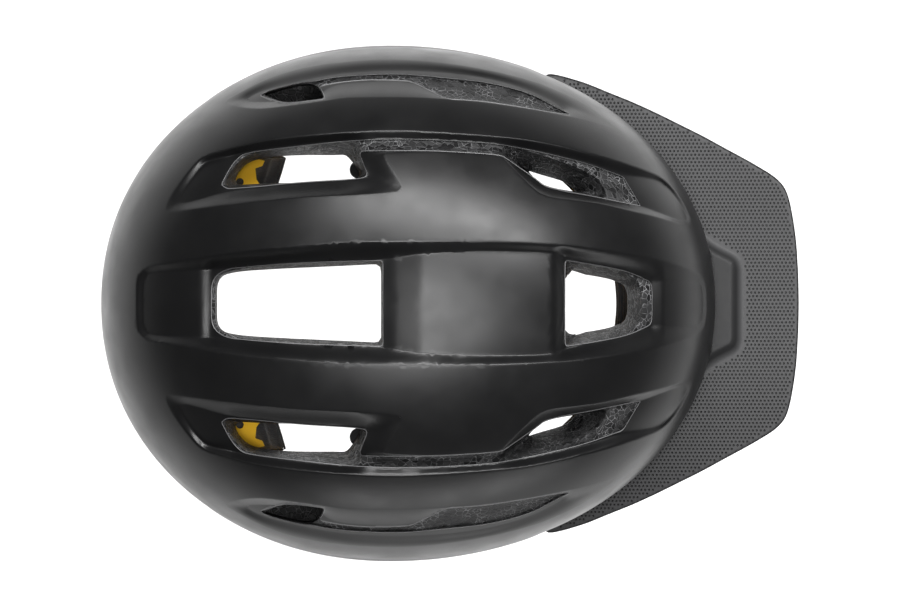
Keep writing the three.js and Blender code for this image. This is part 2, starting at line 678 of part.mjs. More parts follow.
// One side's band: an eye on the temple post, a strap round the head and a rack in the dial housing.
function band(side) {
  const rackZ = DIAL.z + side * DIAL.pitchR;
  const towards = -side;
  const curve = new THREE.CatmullRomCurve3([
    V(46, side * 69, -15), V(20, side * 74.5, -19), V(-20, side * 76, -28), V(-60, side * 66, -42),
    V(-86, side * 50, -52), V(DIAL.x, side * 39, rackZ - towards * 1.9),
    V(DIAL.x, side * 28, rackZ - towards * 1.9),
  ]);
  const highAt = (t) => BAND.low + (BAND.high - BAND.low) * smooth((0.78 - t) / 0.2) * smooth(t / 0.1);
  const strap = ribbon(curve, highAt, BAND.thick, 16, V(0, 0, 1));
  const eye = ring(5.5, PIVOT.r + 0.4, V(PIVOT.x, side * 68, PIVOT.z), V(PIVOT.x, side * 70, PIVOT.z));
  const [y0, y1] = side > 0 ? [-16, 29] : [-29, 16];
  const rack = rackBar(rackZ, towards, y0, y1);
  return cut(joined(strap, eye, rack), templeBore(side));
}

const templeBore = (side) =>
  rod(PIVOT.r + 0.4, V(PIVOT.x, side * 60, PIVOT.z), V(PIVOT.x, side * 76, PIVOT.z));

const ratchetSpring = () =>
  cut(
    ring(9.2, 7.6, V(DIAL.x - 4.6, 0, DIAL.z), V(DIAL.x - 3.6, 0, DIAL.z), 20),
    box(DIAL.x - 6, DIAL.x - 2, -1.5, 1.5, DIAL.z - 12, DIAL.z - 5),
  );

const springSeat = () => ring(9.5, 7.3, V(DIAL.x - 5.2, 0, DIAL.z), V(DIAL.x - 3.3, 0, DIAL.z), 20);

// ---------------------------------------------------------------- straps and buckle
const ANCHORS = [
  { name: "front", x: 48, y: 82 },
  { name: "rear", x: -52, y: 83 },
];
const anchorAngle = ({ x, y }) => Math.atan2(y / SHELL.half, (x - SHELL.xc) / 132);
const anchorZ = (anchor) => rimZ(anchorAngle(anchor)) + LIP.high;

const strapAnchor = (anchor, side, grow = 0) => {
  const z = anchorZ(anchor) - 1;
  const at = (height) => V(anchor.x, side * anchor.y, z + height);
  const top = at(8 + grow);
  return joined(rod(4.4 + grow, at(-4.5), top, 10), rod(5.8 + grow, at(5 - grow), top, 10));
};

const webEnd = (anchor, side) => V(anchor.x, side * anchor.y, anchorZ(anchor) - 6.8);
const dividerTop = (side) => V(DIVIDER.x, side * DIVIDER.y, DIVIDER.z + 4);

const CHIN_ENDS = { left: 24, right: -24 }; // the webbing stops here, inside the buckle's halves

function chinCurve(side) {
  const end = side > 0 ? CHIN_ENDS.left : CHIN_ENDS.right;
  const points = [
    V(DIVIDER.x, side * DIVIDER.y, DIVIDER.z + 6), V(11, side * 79, -108), V(22, side * 72, -134),
    V(CHIN.x, side * CHIN.flat, CHIN.z), V(CHIN.x, end, CHIN.z),
  ];
  return rounded(points, 9);
}

// One side's webbing: both anchors run down to the divider, then on together under the chin.
function webbing(side, grow = 0) {
  const runs = ANCHORS.map((anchor) => {
    const curve = new THREE.LineCurve3(webEnd(anchor, side), dividerTop(side));
    return ribbon(curve, even(WEB.wide + grow), WEB.thick + grow, 2, V(1, 0, 0));
  });
  const chin = ribbon(chinCurve(side), even(WEB.wide + grow), WEB.chin + grow, 24, V(1, 0, 0));
  return joined(...runs, chin);
}

const LEVER = { y: 6, z: DIVIDER.z + 5, r: 1.6 };
const outwards = (side, a, b) => acrossTo(side, DIVIDER.y + a, DIVIDER.y + b);
const leverPin = (side, r, x0, x1) => {
  const at = (x) => V(x, side * (DIVIDER.y + LEVER.y), LEVER.z);
  return rod(r, at(x0), at(x1), 10);
};

const dividerBody = (side) => {
  const plate = box(-9, 21, ...outwards(side, -3.4, 3.4), DIVIDER.z - 11, DIVIDER.z + 9);
  const ears = [[-9, -5.6], [17.6, 21]].map(([x0, x1]) =>
    box(x0, x1, ...outwards(side, 2, 8.6), LEVER.z - 2.8, LEVER.z + 2.8),
  );
  return cut(joined(plate, ...ears), webbing(side, WEB_ROOM), leverPin(side, LEVER.r + GAP, -30, 40));
};

const dividerLever = (side) => {
  const plate = box(-5, 17, ...outwards(side, 4.6, 7.2), DIVIDER.z - 10, LEVER.z);
  return joined(plate, leverPin(side, LEVER.r, -8.6, 20.6));
};

// The buckle's socket, on the left strap, and its insert, on the right strap.
const BUCKLE = { half: 12.5, high: 4.2, mouth: -3, back: 27 };

// A box centred on the chin strap: half its width, its two ends and half its height.
const chinBox = (half, y0, y1, high) =>
  box(CHIN.x - half, CHIN.x + half, y0, y1, CHIN.z - high, CHIN.z + high);

const buckleSocket = () =>
  cut(
    chinBox(BUCKLE.half, BUCKLE.mouth, BUCKLE.back, BUCKLE.high),
    chinBox(10.6, BUCKLE.mouth - 1, 16.5, 2.6),
    chinBox(20, 5, 14.5, 2.6),
    webbing(1, WEB_ROOM),
  );

function buckleInsert() {
  const prong = (side) => {
    const shape = new THREE.Shape();
    const corners = [
      [4.6, -8], [9.4, -8], [9.4, 4], [10.2, 5.6], [10.2, 10], [8.8, 14], [6.4, 15.5], [6.4, 2],
    ];
    corners.forEach(([x, y], i) => (i ? shape.lineTo(side * x, y) : shape.moveTo(side * x, y)));
    const geometry = new THREE.ExtrudeGeometry(shape, { depth: 4.4, bevelEnabled: false });
    return solidOf(geometry.translate(CHIN.x, 0, CHIN.z - 2.2));
  };
  return cut(
    joined(
      prong(1),
      prong(-1),
      chinBox(12, -26, -3.6, 3.8),
      chinBox(1.6, -4, 13, 2.2),
    ),
    chinBox(8, -27, -5, 1.6),
  );
}

const alongChin = (side, from, to) => {
  const whole = chinCurve(side);
  const points = [0, 1, 2, 3, 4, 5].map((k) => whole.getPoint(from + ((to - from) * k) / 5));
  return new THREE.CatmullRomCurve3(points);
};

const sleeve = (side, from, to, wide, thick, steps) => {
  const block = ribbon(alongChin(side, from, to), even(wide), thick, steps, V(1, 0, 0));
  return cut(block, webbing(side, WEB_ROOM));
};

// ---------------------------------------------------------------- assembly
const helmet = new THREE.Group();
helmet.name = "cycling_helmet";

function add(name, colour, solid, parent = helmet) {
  const [color, roughness, metalness = 0] = COLOURS[colour];
  const material = new THREE.MeshStandardMaterial({ color, roughness, metalness });
  const mesh = new THREE.Mesh(geometryOf(solid), material);
  mesh.name = name;
  parent.add(mesh);
}

const postBores = POSTS.map(({ y }) => postRod(y, POST.socket + GAP, -POST.deep - GAP, 8));
const postHoles = POSTS.map(({ y }) => postRod(y, POST.head + GAP, -POST.deep, 8));
const anchorBores = [];
for (const side of Object.values(SIDES)) {
  for (const anchor of ANCHORS) anchorBores.push(strapAnchor(anchor, side, GAP));
}
const templeHoles = Object.values(SIDES).map((side) => {
  const at = (y) => V(PIVOT.x, side * y, PIVOT.z);
  return joined(rod(PIVOT.r + GAP, at(60), at(82.5)), rod(5 + GAP, at(60), at(79)));
});
const railPocket = box(-106.2, -95, -7.7, 7.7, -60, 6.8);

add("outer_shell", "shell", outerShell());
add("lower_shell", "lower", cut(lowerShell(), ...postHoles));
add("foam_liner", "foam", cut(foamLiner(), ...postBores, ...anchorBores, ...templeHoles, railPocket));

const slip = new THREE.Group();
helmet.add(slip);
add("slip_liner", "slip", slipLiner(), slip);
add("brow_pad", "pad", wallPad(-0.8, 0.8, 0.84, 0.97), slip);
add("crown_pad_centre", "pad", crownPad(2, 62, -13, 13), slip);
for (const [name, side] of Object.entries(SIDES)) {
  add(`crown_pad_${name}`, "pad", crownPad(-46, 44, ...acrossTo(side, 26, 42)), slip);
  add(`rear_pad_${name}`, "pad", crownPad(-60.5, -50, ...acrossTo(side, 28, 62.5)), slip);
  add(`temple_pad_${name}`, "pad", wallPad(side * 1.2, side * 2.1, 0.8, 0.94), slip);
  for (const anchor of SLIP_ANCHORS) {
    add(`slip_anchor_${anchor.name}_${name}`, "anchor", slipAnchor(anchor, side), slip);
  }
}

const visor = new THREE.Group();
helmet.add(visor);
add("visor", "visor", visorBody(), visor);
for (const { name, y } of POSTS) {
  add(`visor_post_${name}`, "nylon", visorPost(y), visor);
  add(`visor_socket_${name}`, "nylon", visorSocket(y));
}

const cradle = new THREE.Group();
helmet.add(cradle);
add("dial_housing", "nylon", cut(dialHousing(), springSeat()), cradle);
add("dial_cover", "nylon", dialCover(), cradle);
add("cradle_yoke", "nylon", cradleYoke(), cradle);
add("height_slider", "nylon", heightSlider(), cradle);
add("ratchet_spring", "steel", ratchetSpring(), cradle);
add("dial_knob", "nylon", dialKnob(), cradle);
add("dial_pinion", "nylon", dialPinion(), cradle);
add("dial_screw", "steel", dialScrew(), cradle);
add("height_rail", "nylon", heightRail());
for (const [name, side] of Object.entries(SIDES)) {
  add(`cradle_pad_${name}`, "pad", cradlePad(side), cradle);
  add(`band_${name}`, "nylon", band(side), cradle);
  add(`temple_post_${name}`, "nylon", templePost(side));
}

for (const [name, side] of Object.entries(SIDES)) {
  for (const anchor of ANCHORS) {
    const plug = cut(strapAnchor(anchor, side), webbing(side, 2 * GAP));
    add(`strap_anchor_${anchor.name}_${name}`, "nylon", plug);
  }
  add(`webbing_${name}`, "web", webbing(side));
  add(`divider_${name}`, "nylon", dividerBody(side));
  add(`divider_lever_${name}`, "nylon", dividerLever(side));
}
add("buckle_socket", "nylon", buckleSocket());
add("buckle_insert", "nylon", buckleInsert());
add("chin_pad", "pad", sleeve(1, 0.4, 0.64, 24, 8, 8));
add("strap_keeper", "nylon", sleeve(-1, 0.36, 0.41, 20, 6, 2));

export default helmet;
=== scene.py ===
import json
import math
from contextlib import contextmanager

import bmesh
import bpy
import numpy as np
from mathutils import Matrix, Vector

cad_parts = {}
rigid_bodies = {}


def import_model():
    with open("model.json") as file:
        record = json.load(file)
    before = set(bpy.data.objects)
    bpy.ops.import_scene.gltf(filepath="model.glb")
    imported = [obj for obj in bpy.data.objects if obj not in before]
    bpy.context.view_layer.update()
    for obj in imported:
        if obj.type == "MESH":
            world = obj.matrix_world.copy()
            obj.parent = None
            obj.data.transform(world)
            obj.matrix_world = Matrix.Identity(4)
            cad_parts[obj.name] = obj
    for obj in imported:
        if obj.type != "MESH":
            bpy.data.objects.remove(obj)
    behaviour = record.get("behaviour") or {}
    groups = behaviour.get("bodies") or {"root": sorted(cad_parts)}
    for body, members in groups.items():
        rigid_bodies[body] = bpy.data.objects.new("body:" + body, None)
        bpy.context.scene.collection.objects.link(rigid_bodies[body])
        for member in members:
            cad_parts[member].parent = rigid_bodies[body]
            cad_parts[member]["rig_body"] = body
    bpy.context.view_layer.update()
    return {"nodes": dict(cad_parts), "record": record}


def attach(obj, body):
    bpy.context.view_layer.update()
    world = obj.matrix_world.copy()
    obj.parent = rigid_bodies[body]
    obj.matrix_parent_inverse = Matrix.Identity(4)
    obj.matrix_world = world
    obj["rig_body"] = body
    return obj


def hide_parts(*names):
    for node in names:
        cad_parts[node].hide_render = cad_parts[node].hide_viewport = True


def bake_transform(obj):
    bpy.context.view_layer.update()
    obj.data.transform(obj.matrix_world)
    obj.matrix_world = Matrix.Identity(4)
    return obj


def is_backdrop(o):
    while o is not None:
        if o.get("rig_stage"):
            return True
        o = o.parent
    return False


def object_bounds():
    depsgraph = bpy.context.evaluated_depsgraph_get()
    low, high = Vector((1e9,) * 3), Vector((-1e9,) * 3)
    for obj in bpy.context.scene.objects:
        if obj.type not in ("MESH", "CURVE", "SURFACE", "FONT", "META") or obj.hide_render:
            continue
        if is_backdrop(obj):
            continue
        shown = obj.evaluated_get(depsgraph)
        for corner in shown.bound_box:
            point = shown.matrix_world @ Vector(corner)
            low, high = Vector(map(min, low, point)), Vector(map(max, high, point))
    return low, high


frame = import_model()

MM = 0.001
SIDES = {"left": 1, "right": -1}

# ------------------------------------------------------------------ camera, floor and light
VIEW_WIDE = 0.3935  # metres across the picture at the widest line of the shell
VIEW_CENTRE = (0.0247, -0.0007)
CAMERA_HIGH = 5.0


def add_camera():
    data = bpy.data.cameras.new("camera")
    data.sensor_width = 36
    data.lens = data.sensor_width * CAMERA_HIGH / VIEW_WIDE
    data.clip_end = 50
    camera = bpy.data.objects.new("camera", data)
    camera.location = (*VIEW_CENTRE, CAMERA_HIGH)
    bpy.context.scene.collection.objects.link(camera)
    bpy.context.scene.camera = camera


def add_light(name, place, size, power):
    """A soft light that shines at the origin."""
    data = bpy.data.lights.new(name, "AREA")
    data.shape = "RECTANGLE"
    data.size, data.size_y = size
    data.energy = power
    light = bpy.data.objects.new(name, data)
    light.location = place
    light.rotation_euler = (-Vector(place)).to_track_quat("-Z", "Y").to_euler()
    bpy.context.scene.collection.objects.link(light)


add_camera()

# ------------------------------------------------------------------ small helpers for nodes


class Nodes:
    """Short calls for a material's node tree, in metres on the object's own coordinates."""

    def __init__(self, name, color, roughness, **values):
        self.material = bpy.data.materials.new(name)
        self.material.use_nodes = True
        self.tree = self.material.node_tree
        self.shader = self.tree.nodes["Principled BSDF"]
        self.shader.inputs["Base Color"].default_value = (*color, 1)
        self.shader.inputs["Roughness"].default_value = roughness
        for key, value in values.items():
            self.shader.inputs[key.replace("_", " ")].default_value = value
        self.place = self.add("ShaderNodeTexCoord").outputs["Object"]

    def add(self, kind, inputs=None, **settings):
        node = self.tree.nodes.new(kind)
        for key, value in settings.items():
            setattr(node, key, value)
        for key, value in (inputs or {}).items():
            if isinstance(value, bpy.types.NodeSocket):
                self.tree.links.new(value, node.inputs[key])
            else:
                node.inputs[key].default_value = value
        return node

    def noise(self, scale, detail=3.0, rough=0.5):
        inputs = {"Vector": self.place, "Scale": scale, "Detail": detail, "Roughness": rough}
        return self.add("ShaderNodeTexNoise", inputs).outputs["Fac"]

    def spread(self, value, low, high, start=0.0, end=1.0):
        inputs = {"Value": value, "From Min": start, "From Max": end, "To Min": low, "To Max": high}
        return self.add("ShaderNodeMapRange", inputs).outputs["Result"]

    def maths(self, operation, a, b=0.0):
        return self.add("ShaderNodeMath", {0: a, 1: b}, operation=operation).outputs["Value"]

    def mix(self, share, a, b):
        a = a if isinstance(a, bpy.types.NodeSocket) else (*a, 1)
        inputs = {"Factor": share, "A": a, "B": (*b, 1)}
        node = self.add("ShaderNodeMix", data_type="RGBA")
        for key, value in inputs.items():
            sockets = [s for s in node.inputs if s.name == key and s.enabled]
            if isinstance(value, bpy.types.NodeSocket):
                self.tree.links.new(value, sockets[0])
            else:
                sockets[0].default_value = value
        return next(s for s in node.outputs if s.enabled)

    def color(self, socket):
        self.tree.links.new(socket, self.shader.inputs["Base Color"])

    def rough(self, socket):
        self.tree.links.new(socket, self.shader.inputs["Roughness"])

    def bump(self, heights):
        """heights is a list of (socket, distance in metres)."""
        normal = None
        for socket, distance in heights:
            inputs = {"Height": socket, "Distance": distance, "Strength": 1.0}
            if normal is not None:
                inputs["Normal"] = normal
            normal = self.add("ShaderNodeBump", inputs).outputs["Normal"]
        self.tree.links.new(normal, self.shader.inputs["Normal"])
        return self.material


# The visor's curve, in millimetres: its height at VISOR_FROM, its fall to the sides and its slope.
VISOR_HIGH = -4.0
VISOR_BOW = 0.0013
VISOR_LEAN = 0.05
VISOR_FROM = 133.0


def moulded(name, color, roughness, grain=0.00002, variation=0.15, **values):
    """Moulded plastic: fine grain, and slow changes of tone and gloss."""
    n = Nodes(name, color, roughness, **values)
    slow = n.noise(35, 2)
    n.color(n.mix(slow, [c * (1 - variation) for c in color], [c * (1 + variation) for c in color]))
    n.rough(n.spread(n.noise(60, 4), roughness - 0.05, roughness + 0.05, 0.3, 0.7))
    return n.bump([(n.noise(4200, 2), grain)])


def dimpled_plastic(name):
    """Matt plastic with painted shade: darker inside the dimples, where the surface lies below the visor's
    own curve, and on the boss, where it lies well above it.
    """
    n = Nodes(name, (0.1, 0.1, 0.102), 0.5, Specular_IOR_Level=0.15)
    axes = n.add("ShaderNodeSeparateXYZ", {"Vector": n.place}).outputs
    bow = n.maths("MULTIPLY", n.maths("MULTIPLY", axes["Y"], axes["Y"]), -VISOR_BOW / MM)
    lean = n.maths("MULTIPLY", n.maths("SUBTRACT", axes["X"], VISOR_FROM * MM), VISOR_LEAN)
    curve = n.maths("ADD", n.maths("ADD", bow, lean), VISOR_HIGH * MM)
    # Painted shade: the dimples' insides, below the curve, and the raised boss, well above it, get darker
    # colours.
    sunk = n.spread(n.maths("SUBTRACT", curve, axes["Z"]), 0.0, 1.0, 0.00004, 0.0003)
    tone = n.spread(n.noise(60, 3), 0.92, 1.08)
    raised = n.spread(n.maths("SUBTRACT", axes["Z"], curve), 0.0, 1.0, 0.0001, 0.0012)
    base = n.mix(raised, n.mix(sunk, (0.034, 0.034, 0.035), (0.006, 0.006, 0.0063)), (0.0095, 0.0095, 0.0099))
    shade = n.add("ShaderNodeVectorMath", {0: base}, operation="SCALE")
    n.tree.links.new(tone, shade.inputs["Scale"])
    n.color(shade.outputs["Vector"])
    n.rough(n.spread(n.noise(400, 2), 0.4, 0.5))
    return n.bump([(n.noise(2500, 2), 0.00002)])


def bead_foam(name):
    """Moulded bead foam: irregular cells about 2.4 mm wide, dark in the middle, with thin pale seams."""
    n = Nodes(name, (0.03, 0.03, 0.031), 0.6, Specular_IOR_Level=0.2)
    wobble = n.add("ShaderNodeTexNoise", {"Vector": n.place, "Scale": 260.0, "Detail": 2.0}).outputs["Color"]
    shift = n.add("ShaderNodeVectorMath", {0: wobble, 1: (0.5, 0.5, 0.5)}, operation="SUBTRACT")
    small = n.add("ShaderNodeVectorMath", {0: shift.outputs["Vector"]}, operation="SCALE")
    small.inputs["Scale"].default_value = 0.0016
    moved = n.add("ShaderNodeVectorMath", {0: n.place, 1: small.outputs["Vector"]}, operation="ADD")
    cells = {"Vector": moved.outputs["Vector"], "Scale": 420.0}
    seam = n.add("ShaderNodeTexVoronoi", cells, feature="DISTANCE_TO_EDGE").outputs["Distance"]
    each = n.add("ShaderNodeTexVoronoi", cells, feature="F1").outputs["Color"]
    tone = n.add("ShaderNodeSeparateColor", {"Color": each}).outputs["Red"]
    pale = n.spread(seam, 1.0, 0.0, 0.0, 0.05)
    patchy = n.maths("MULTIPLY", pale, n.spread(n.noise(120, 3), 0.1, 1.0, 0.38, 0.66))
    bead = n.spread(tone, 0.0, 0.1)
    n.color(n.mix(n.maths("MAXIMUM", patchy, bead), (0.005, 0.005, 0.0052), (0.23, 0.23, 0.235)))
    n.rough(n.spread(tone, 0.45, 0.7))
    return n.bump([(n.spread(seam, 0.0, 1.0, 0.0, 0.2), 0.00022), (n.noise(1500, 3), 0.00003)])


def woven(name, color, pitch):
    """Woven webbing: ribs down at the given pitch in metres, and across at a slightly wider one."""
    n = Nodes(name, color, 0.75, Sheen_Weight=0.25, Sheen_Roughness=0.5)
    split = n.add("ShaderNodeSeparateXYZ", {"Vector": n.place})
    turn = math.tau / pitch
    down = n.maths("SINE", n.maths("MULTIPLY", split.outputs["Z"], turn))
    along = n.maths("ADD", split.outputs["X"], split.outputs["Y"])
    across = n.maths("SINE", n.maths("MULTIPLY", along, turn * 0.8))
    weave = n.maths("MULTIPLY", down, across)
    dark, light = [c * 0.55 for c in color], [c * 1.7 for c in color]
    n.color(n.mix(n.spread(weave, 0.0, 1.0, -1.0, 1.0), dark, light))
    return n.bump([(weave, 0.00018), (n.noise(2500, 3), 0.0001)])


def brushed_fabric(name, color):
    """Soft brushed pad fabric: short fibres, a fine knit and faint creases."""
    n = Nodes(name, color, 0.92, Sheen_Weight=0.15, Sheen_Roughness=0.4)
    fibres = n.noise(5200, 4, 0.7)
    knit = n.add("ShaderNodeTexVoronoi", {"Vector": n.place, "Scale": 1300.0}).outputs["Distance"]
    n.color(n.mix(fibres, [c * 0.5 for c in color], [c * 1.9 for c in color]))
    return n.bump([(knit, 0.00012), (fibres, 0.0001), (n.noise(140, 3), 0.0006)])


def brushed_metal(name):
    n = Nodes(name, (0.55, 0.55, 0.57), 0.28, Metallic=1.0)
    n.rough(n.spread(n.noise(900, 4), 0.2, 0.38))
    return n.bump([(n.noise(2600, 2), 0.00001)])


MATERIALS = {
    "shell": moulded("shell_skin", (0.0045, 0.0045, 0.0047), 0.34, 0.000012, 0.06, Specular_IOR_Level=0.27),
    "lower_shell": moulded("lower_skin", (0.03, 0.03, 0.032), 0.36, 0.00001, 0.08),
    "foam": bead_foam("bead_foam"),
    "visor": dimpled_plastic("visor_plastic"),
    "slip_liner": moulded("slip_sheet", (0.8, 0.46, 0.03), 0.42, 0.00001, 0.08),
    "elastomer": moulded("elastomer", (0.02, 0.02, 0.021), 0.7, 0.00003),
    "pad": brushed_fabric("pad_fabric", (0.008, 0.008, 0.009)),
    "webbing": woven("webbing_weave", (0.016, 0.016, 0.017), 0.0014),
    "nylon": moulded("moulded_nylon", (0.018, 0.018, 0.019), 0.5, 0.00004),
    "steel": brushed_metal("bright_steel"),
}
# Painted highlight: a paler copy of the shell's plastic, used for the bead round each vent.
painted_edge_highlight = moulded("painted_edge_highlight", (0.1, 0.1, 0.102), 0.4, 0.00001, 0.3, Specular_IOR_Level=0.5)
NODE_SLOT = {s["node"]: s["material_slot"] for s in frame["record"]["subparts"]}
NODE_BODY = {n: b for b, nodes in frame["record"]["behaviour"]["bodies"].items() for n in nodes}

# ------------------------------------------------------------------ mesh helpers, in millimetres


def mesh_object(name, points, faces):
    mesh = bpy.data.meshes.new(name)
    mesh.from_pydata((np.asarray(points, float) * MM).tolist(), [], faces)
    mesh.update()
    piece = bpy.data.objects.new(name, mesh)
    bpy.context.scene.collection.objects.link(piece)
    return piece


def baked(piece):
    """Replaces the piece's mesh by what its modifiers make of it."""
    graph = bpy.context.evaluated_depsgraph_get()
    mesh = bpy.data.meshes.new_from_object(piece.evaluated_get(graph))
    piece.modifiers.clear()
    piece.data = mesh
    return piece


def combine(piece, *tools, operation="DIFFERENCE"):
    for tool in tools:
        cut = piece.modifiers.new("cut", "BOOLEAN")
        cut.solver = "MANIFOLD"
        cut.operation = operation
        cut.object = tool
        baked(piece)
        bpy.data.objects.remove(tool)
    return piece


def finished(piece, nodes, sharp=60.0, body=None, slot=None, weighted=False):
    """Smooth shading, the slot's material, the CAD nodes it stands for and the body it rides on."""
    mesh = piece.data
    mesh.shade_smooth()
    mesh.set_sharp_from_angle(angle=math.radians(sharp))
    if weighted:
        normals = piece.modifiers.new("normals", "WEIGHTED_NORMAL")
        normals.keep_sharp = True
        mesh = baked(piece).data
    mesh.materials.clear()
    slot = slot or NODE_SLOT[nodes[0]]
    mesh.materials.append(MATERIALS[slot])
    if nodes:
        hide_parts(*nodes)
    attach(piece, body or NODE_BODY[nodes[0]])
    return piece


def smooth(t):
    t = np.clip(t, 0, 1)
    return t * t * (3 - 2 * t)


def rounded(outline, steps=6):
    """A closed outline with its corners rounded: a third number is how far from the corner it starts."""
    out = []
    count = len(outline)
    for i, corner in enumerate(outline):
        here = np.array(corner[:2], float)
        for other, order in ((outline[i - 1], 0), (outline[(i + 1) % count], 1)):
            away = np.array(other[:2], float) - here
            span = np.linalg.norm(away)
            reach = min(corner[2], span / 2) if len(corner) > 2 else span / 2
            if order == 0:
                start = here + away / span * reach
            else:
                end = here + away / span * reach
        for k in range(steps):
            t = k / (steps - 1)
            out.append((1 - t) ** 2 * start + 2 * t * (1 - t) * here + t * t * end)
    out = np.array(out)
    keep = np.linalg.norm(out - np.roll(out, 1, axis=0), axis=1) > 1e-6
    return out[keep]


def mirrored(outline):
    return outline[::-1] * [1, -1]


def both(half):
    """The full outline of a shape that the middle plane cuts, from its half with y above 0."""
    return half + [(x, -y, *rest) for x, y, *rest in half[::-1] if y > 0]


def ring_faces(rings, count, closed=False):
    """Faces between rings of points, each with count points."""
    faces = []
    for r in range(rings if closed else rings - 1):
        above = (r + 1) % rings
        for i in range(count):
            j = (i + 1) % count
            faces.append((r * count + i, r * count + j, above * count + j, above * count + i))
    return faces


def end_caps(rings, count):
    return [tuple(range(count))[::-1], tuple(range((rings - 1) * count, rings * count))]


def anticlockwise(outline):
    x, y = outline.T
    return np.sum(x * np.roll(y, -1) - y * np.roll(x, -1)) > 0


def prism(outline, low, high):
    points = [(x, y, z) for z in (low, high) for x, y in outline]
    faces = ring_faces(2, len(outline)) + end_caps(2, len(outline))
    if not anticlockwise(outline):
        faces = [f[::-1] for f in faces]
    return mesh_object("prism", points, faces)


def unit(rows):
    """The same directions with a length of 1."""
    return rows / np.linalg.norm(rows, axis=-1)[..., None]


def lengths(path):
    """How far along the path each of its points lies."""
    return np.concatenate([[0], np.cumsum(np.linalg.norm(np.diff(path, axis=0), axis=1))])


def along(path, at, values=None):
    """The path's points at some distances along it, or other values that are given for each point."""
    values = path if values is None else values
    return np.column_stack([np.interp(at, lengths(path), column) for column in values.T])


def evenly(outline, count):
    """The outline at equal steps of length, from its point with the lowest x, anticlockwise."""
    line = outline if anticlockwise(outline) else outline[::-1]
    line = np.roll(line, -int(np.argmin(line[:, 0])), axis=0)
    line = np.vstack([line, line[:1]])
    return along(line, np.linspace(0, lengths(line)[-1], count, endpoint=False))


def loft(loops, name):
    """A closed solid through loops of points, all with equal numbers of points, going upwards."""
    size = len(loops), len(loops[0])
    return mesh_object(name, np.vstack(loops), ring_faces(*size) + end_caps(*size))


TUBE_UP = (0.31, 0.17, 0.93)  # a direction that no cord runs in


def tube(path, radius, sides=6, closed=True):
    """Points and faces of a round cord along a path."""
    ahead = np.roll(path, -1, axis=0) - np.roll(path, 1, axis=0)
    if not closed:
        ahead[0], ahead[-1] = path[1] - path[0], path[-1] - path[-2]
    ahead = unit(ahead)
    side = unit(np.cross(ahead, TUBE_UP))
    over = np.cross(side, ahead)
    turns = np.linspace(0, math.tau, sides, endpoint=False)
    rings = [path + radius * (math.cos(a) * side + math.sin(a) * over) for a in turns]
    return np.stack(rings, axis=1).reshape(-1, 3), ring_faces(len(path), sides, closed)


def merged(meshes):
    """Points and faces of several meshes as one."""
    points, faces, count = [], [], 0
    for some, shapes in meshes:
        points.append(some)
        faces += [tuple(i + count for i in face) for face in shapes]
        count += len(some)
    return np.vstack(points), faces


@contextmanager
def edited(piece):
    """The piece's mesh as a bmesh, which is written back afterwards."""
    bm = bmesh.new()
    bm.from_mesh(piece.data)
    yield bm
    bm.to_mesh(piece.data)
    bm.free()


def fixed_normals(piece):
    with edited(piece) as bm:
        bmesh.ops.recalc_face_normals(bm, faces=bm.faces)
    return piece


def border_of(index):
    """The border of a grid of point numbers, in order."""
    return np.concatenate([index[:, 0], index[-1, 1:], index[-2::-1, -1], index[0, -2:0:-1]])


def cells_of(index):
    """The four corners of each cell of a grid of point numbers, in order."""
    corners = index[:-1, :-1], index[1:, :-1], index[1:, 1:], index[:-1, 1:]
    return np.column_stack([c.ravel() for c in corners])


# ------------------------------------------------------------------ the helmet's surfaces
SHELL = dict(xc=-3.4, front=138.9, rear=125.1, half=110.2, crown=104, low=120, round=2.25)
CAVITY = dict(xc=-3, front=106, rear=104, half=86, crown=78, low=150, round=2.1)
SQUARE = 2.08
SHELL_EDGE = -5.0
BROW_STEP = 3.0
SKIN = 1.2
RIM = [(0, -19), (30, -23), (62, -34), (92, -25), (130, -36), (180, -47)]


def table(points, at):
    """Smooth steps between the points of a short table."""
    at = np.asarray(at, float)
    xs = [p[0] for p in points]
    ys = [p[1] for p in points]
    out = np.full(at.shape, float(ys[0]))
    for k in range(len(points) - 1):
        share = smooth((at - xs[k]) / (xs[k + 1] - xs[k]))
        out = np.where(at >= xs[k], ys[k] + (ys[k + 1] - ys[k]) * share, out)
    return out


def rim_z(theta):
    return table(RIM, np.abs(np.degrees(theta)))


def level(z):
    """A flat lower end for a dome's skirt, as a function of the angle."""
    return lambda theta: z + 0 * theta


def brow_step(theta):
    return BROW_STEP * (1 - smooth((np.abs(theta) - 0.85) / 0.3))


def plan(form, u, v, inset):
    """Unit-disc coordinates to millimetres in plan."""
    mid = (form["front"] + form["rear"]) / 2
    lean = (form["front"] - form["rear"]) / 2
    reach = mid + lean * np.tanh(2.5 * u) / math.tanh(2.5)
    return form["xc"] + (reach - inset) * u, (form["half"] - inset) * v


def unplan(form, x, y):
    """Millimetres in plan to unit-disc coordinates."""
    us = np.linspace(-1.2, 1.2, 2401)
    return np.interp(x, plan(form, us, 0 * us, 0)[0], us), np.asarray(y) / form["half"]


def share_of(u, v):
    return (np.abs(u) ** SQUARE + np.abs(v) ** SQUARE) ** (1 / SQUARE)


def outward(theta, share=1.0):
    """The point at an angle and a share of the way to the outline in plan, in unit-disc coordinates."""
    c, s = np.cos(theta), np.sin(theta)
    k = (np.abs(c) ** SQUARE + np.abs(s) ** SQUARE) ** (-1 / SQUARE)
    return share * k * c, share * k * s


def dome_z(form, share, inset):
    return (form["crown"] - inset) * np.clip(1 - share ** form["round"], 0, 1) ** (1 / form["round"])


def height(form, x, y, inset=0.0):
    """The dome's height over a point in plan."""
    u, v = unplan(form, x, y)
    grow = 1 + inset / (form["half"] - inset)
    return dome_z(form, np.minimum(share_of(u, v) * grow, 1.0), inset)


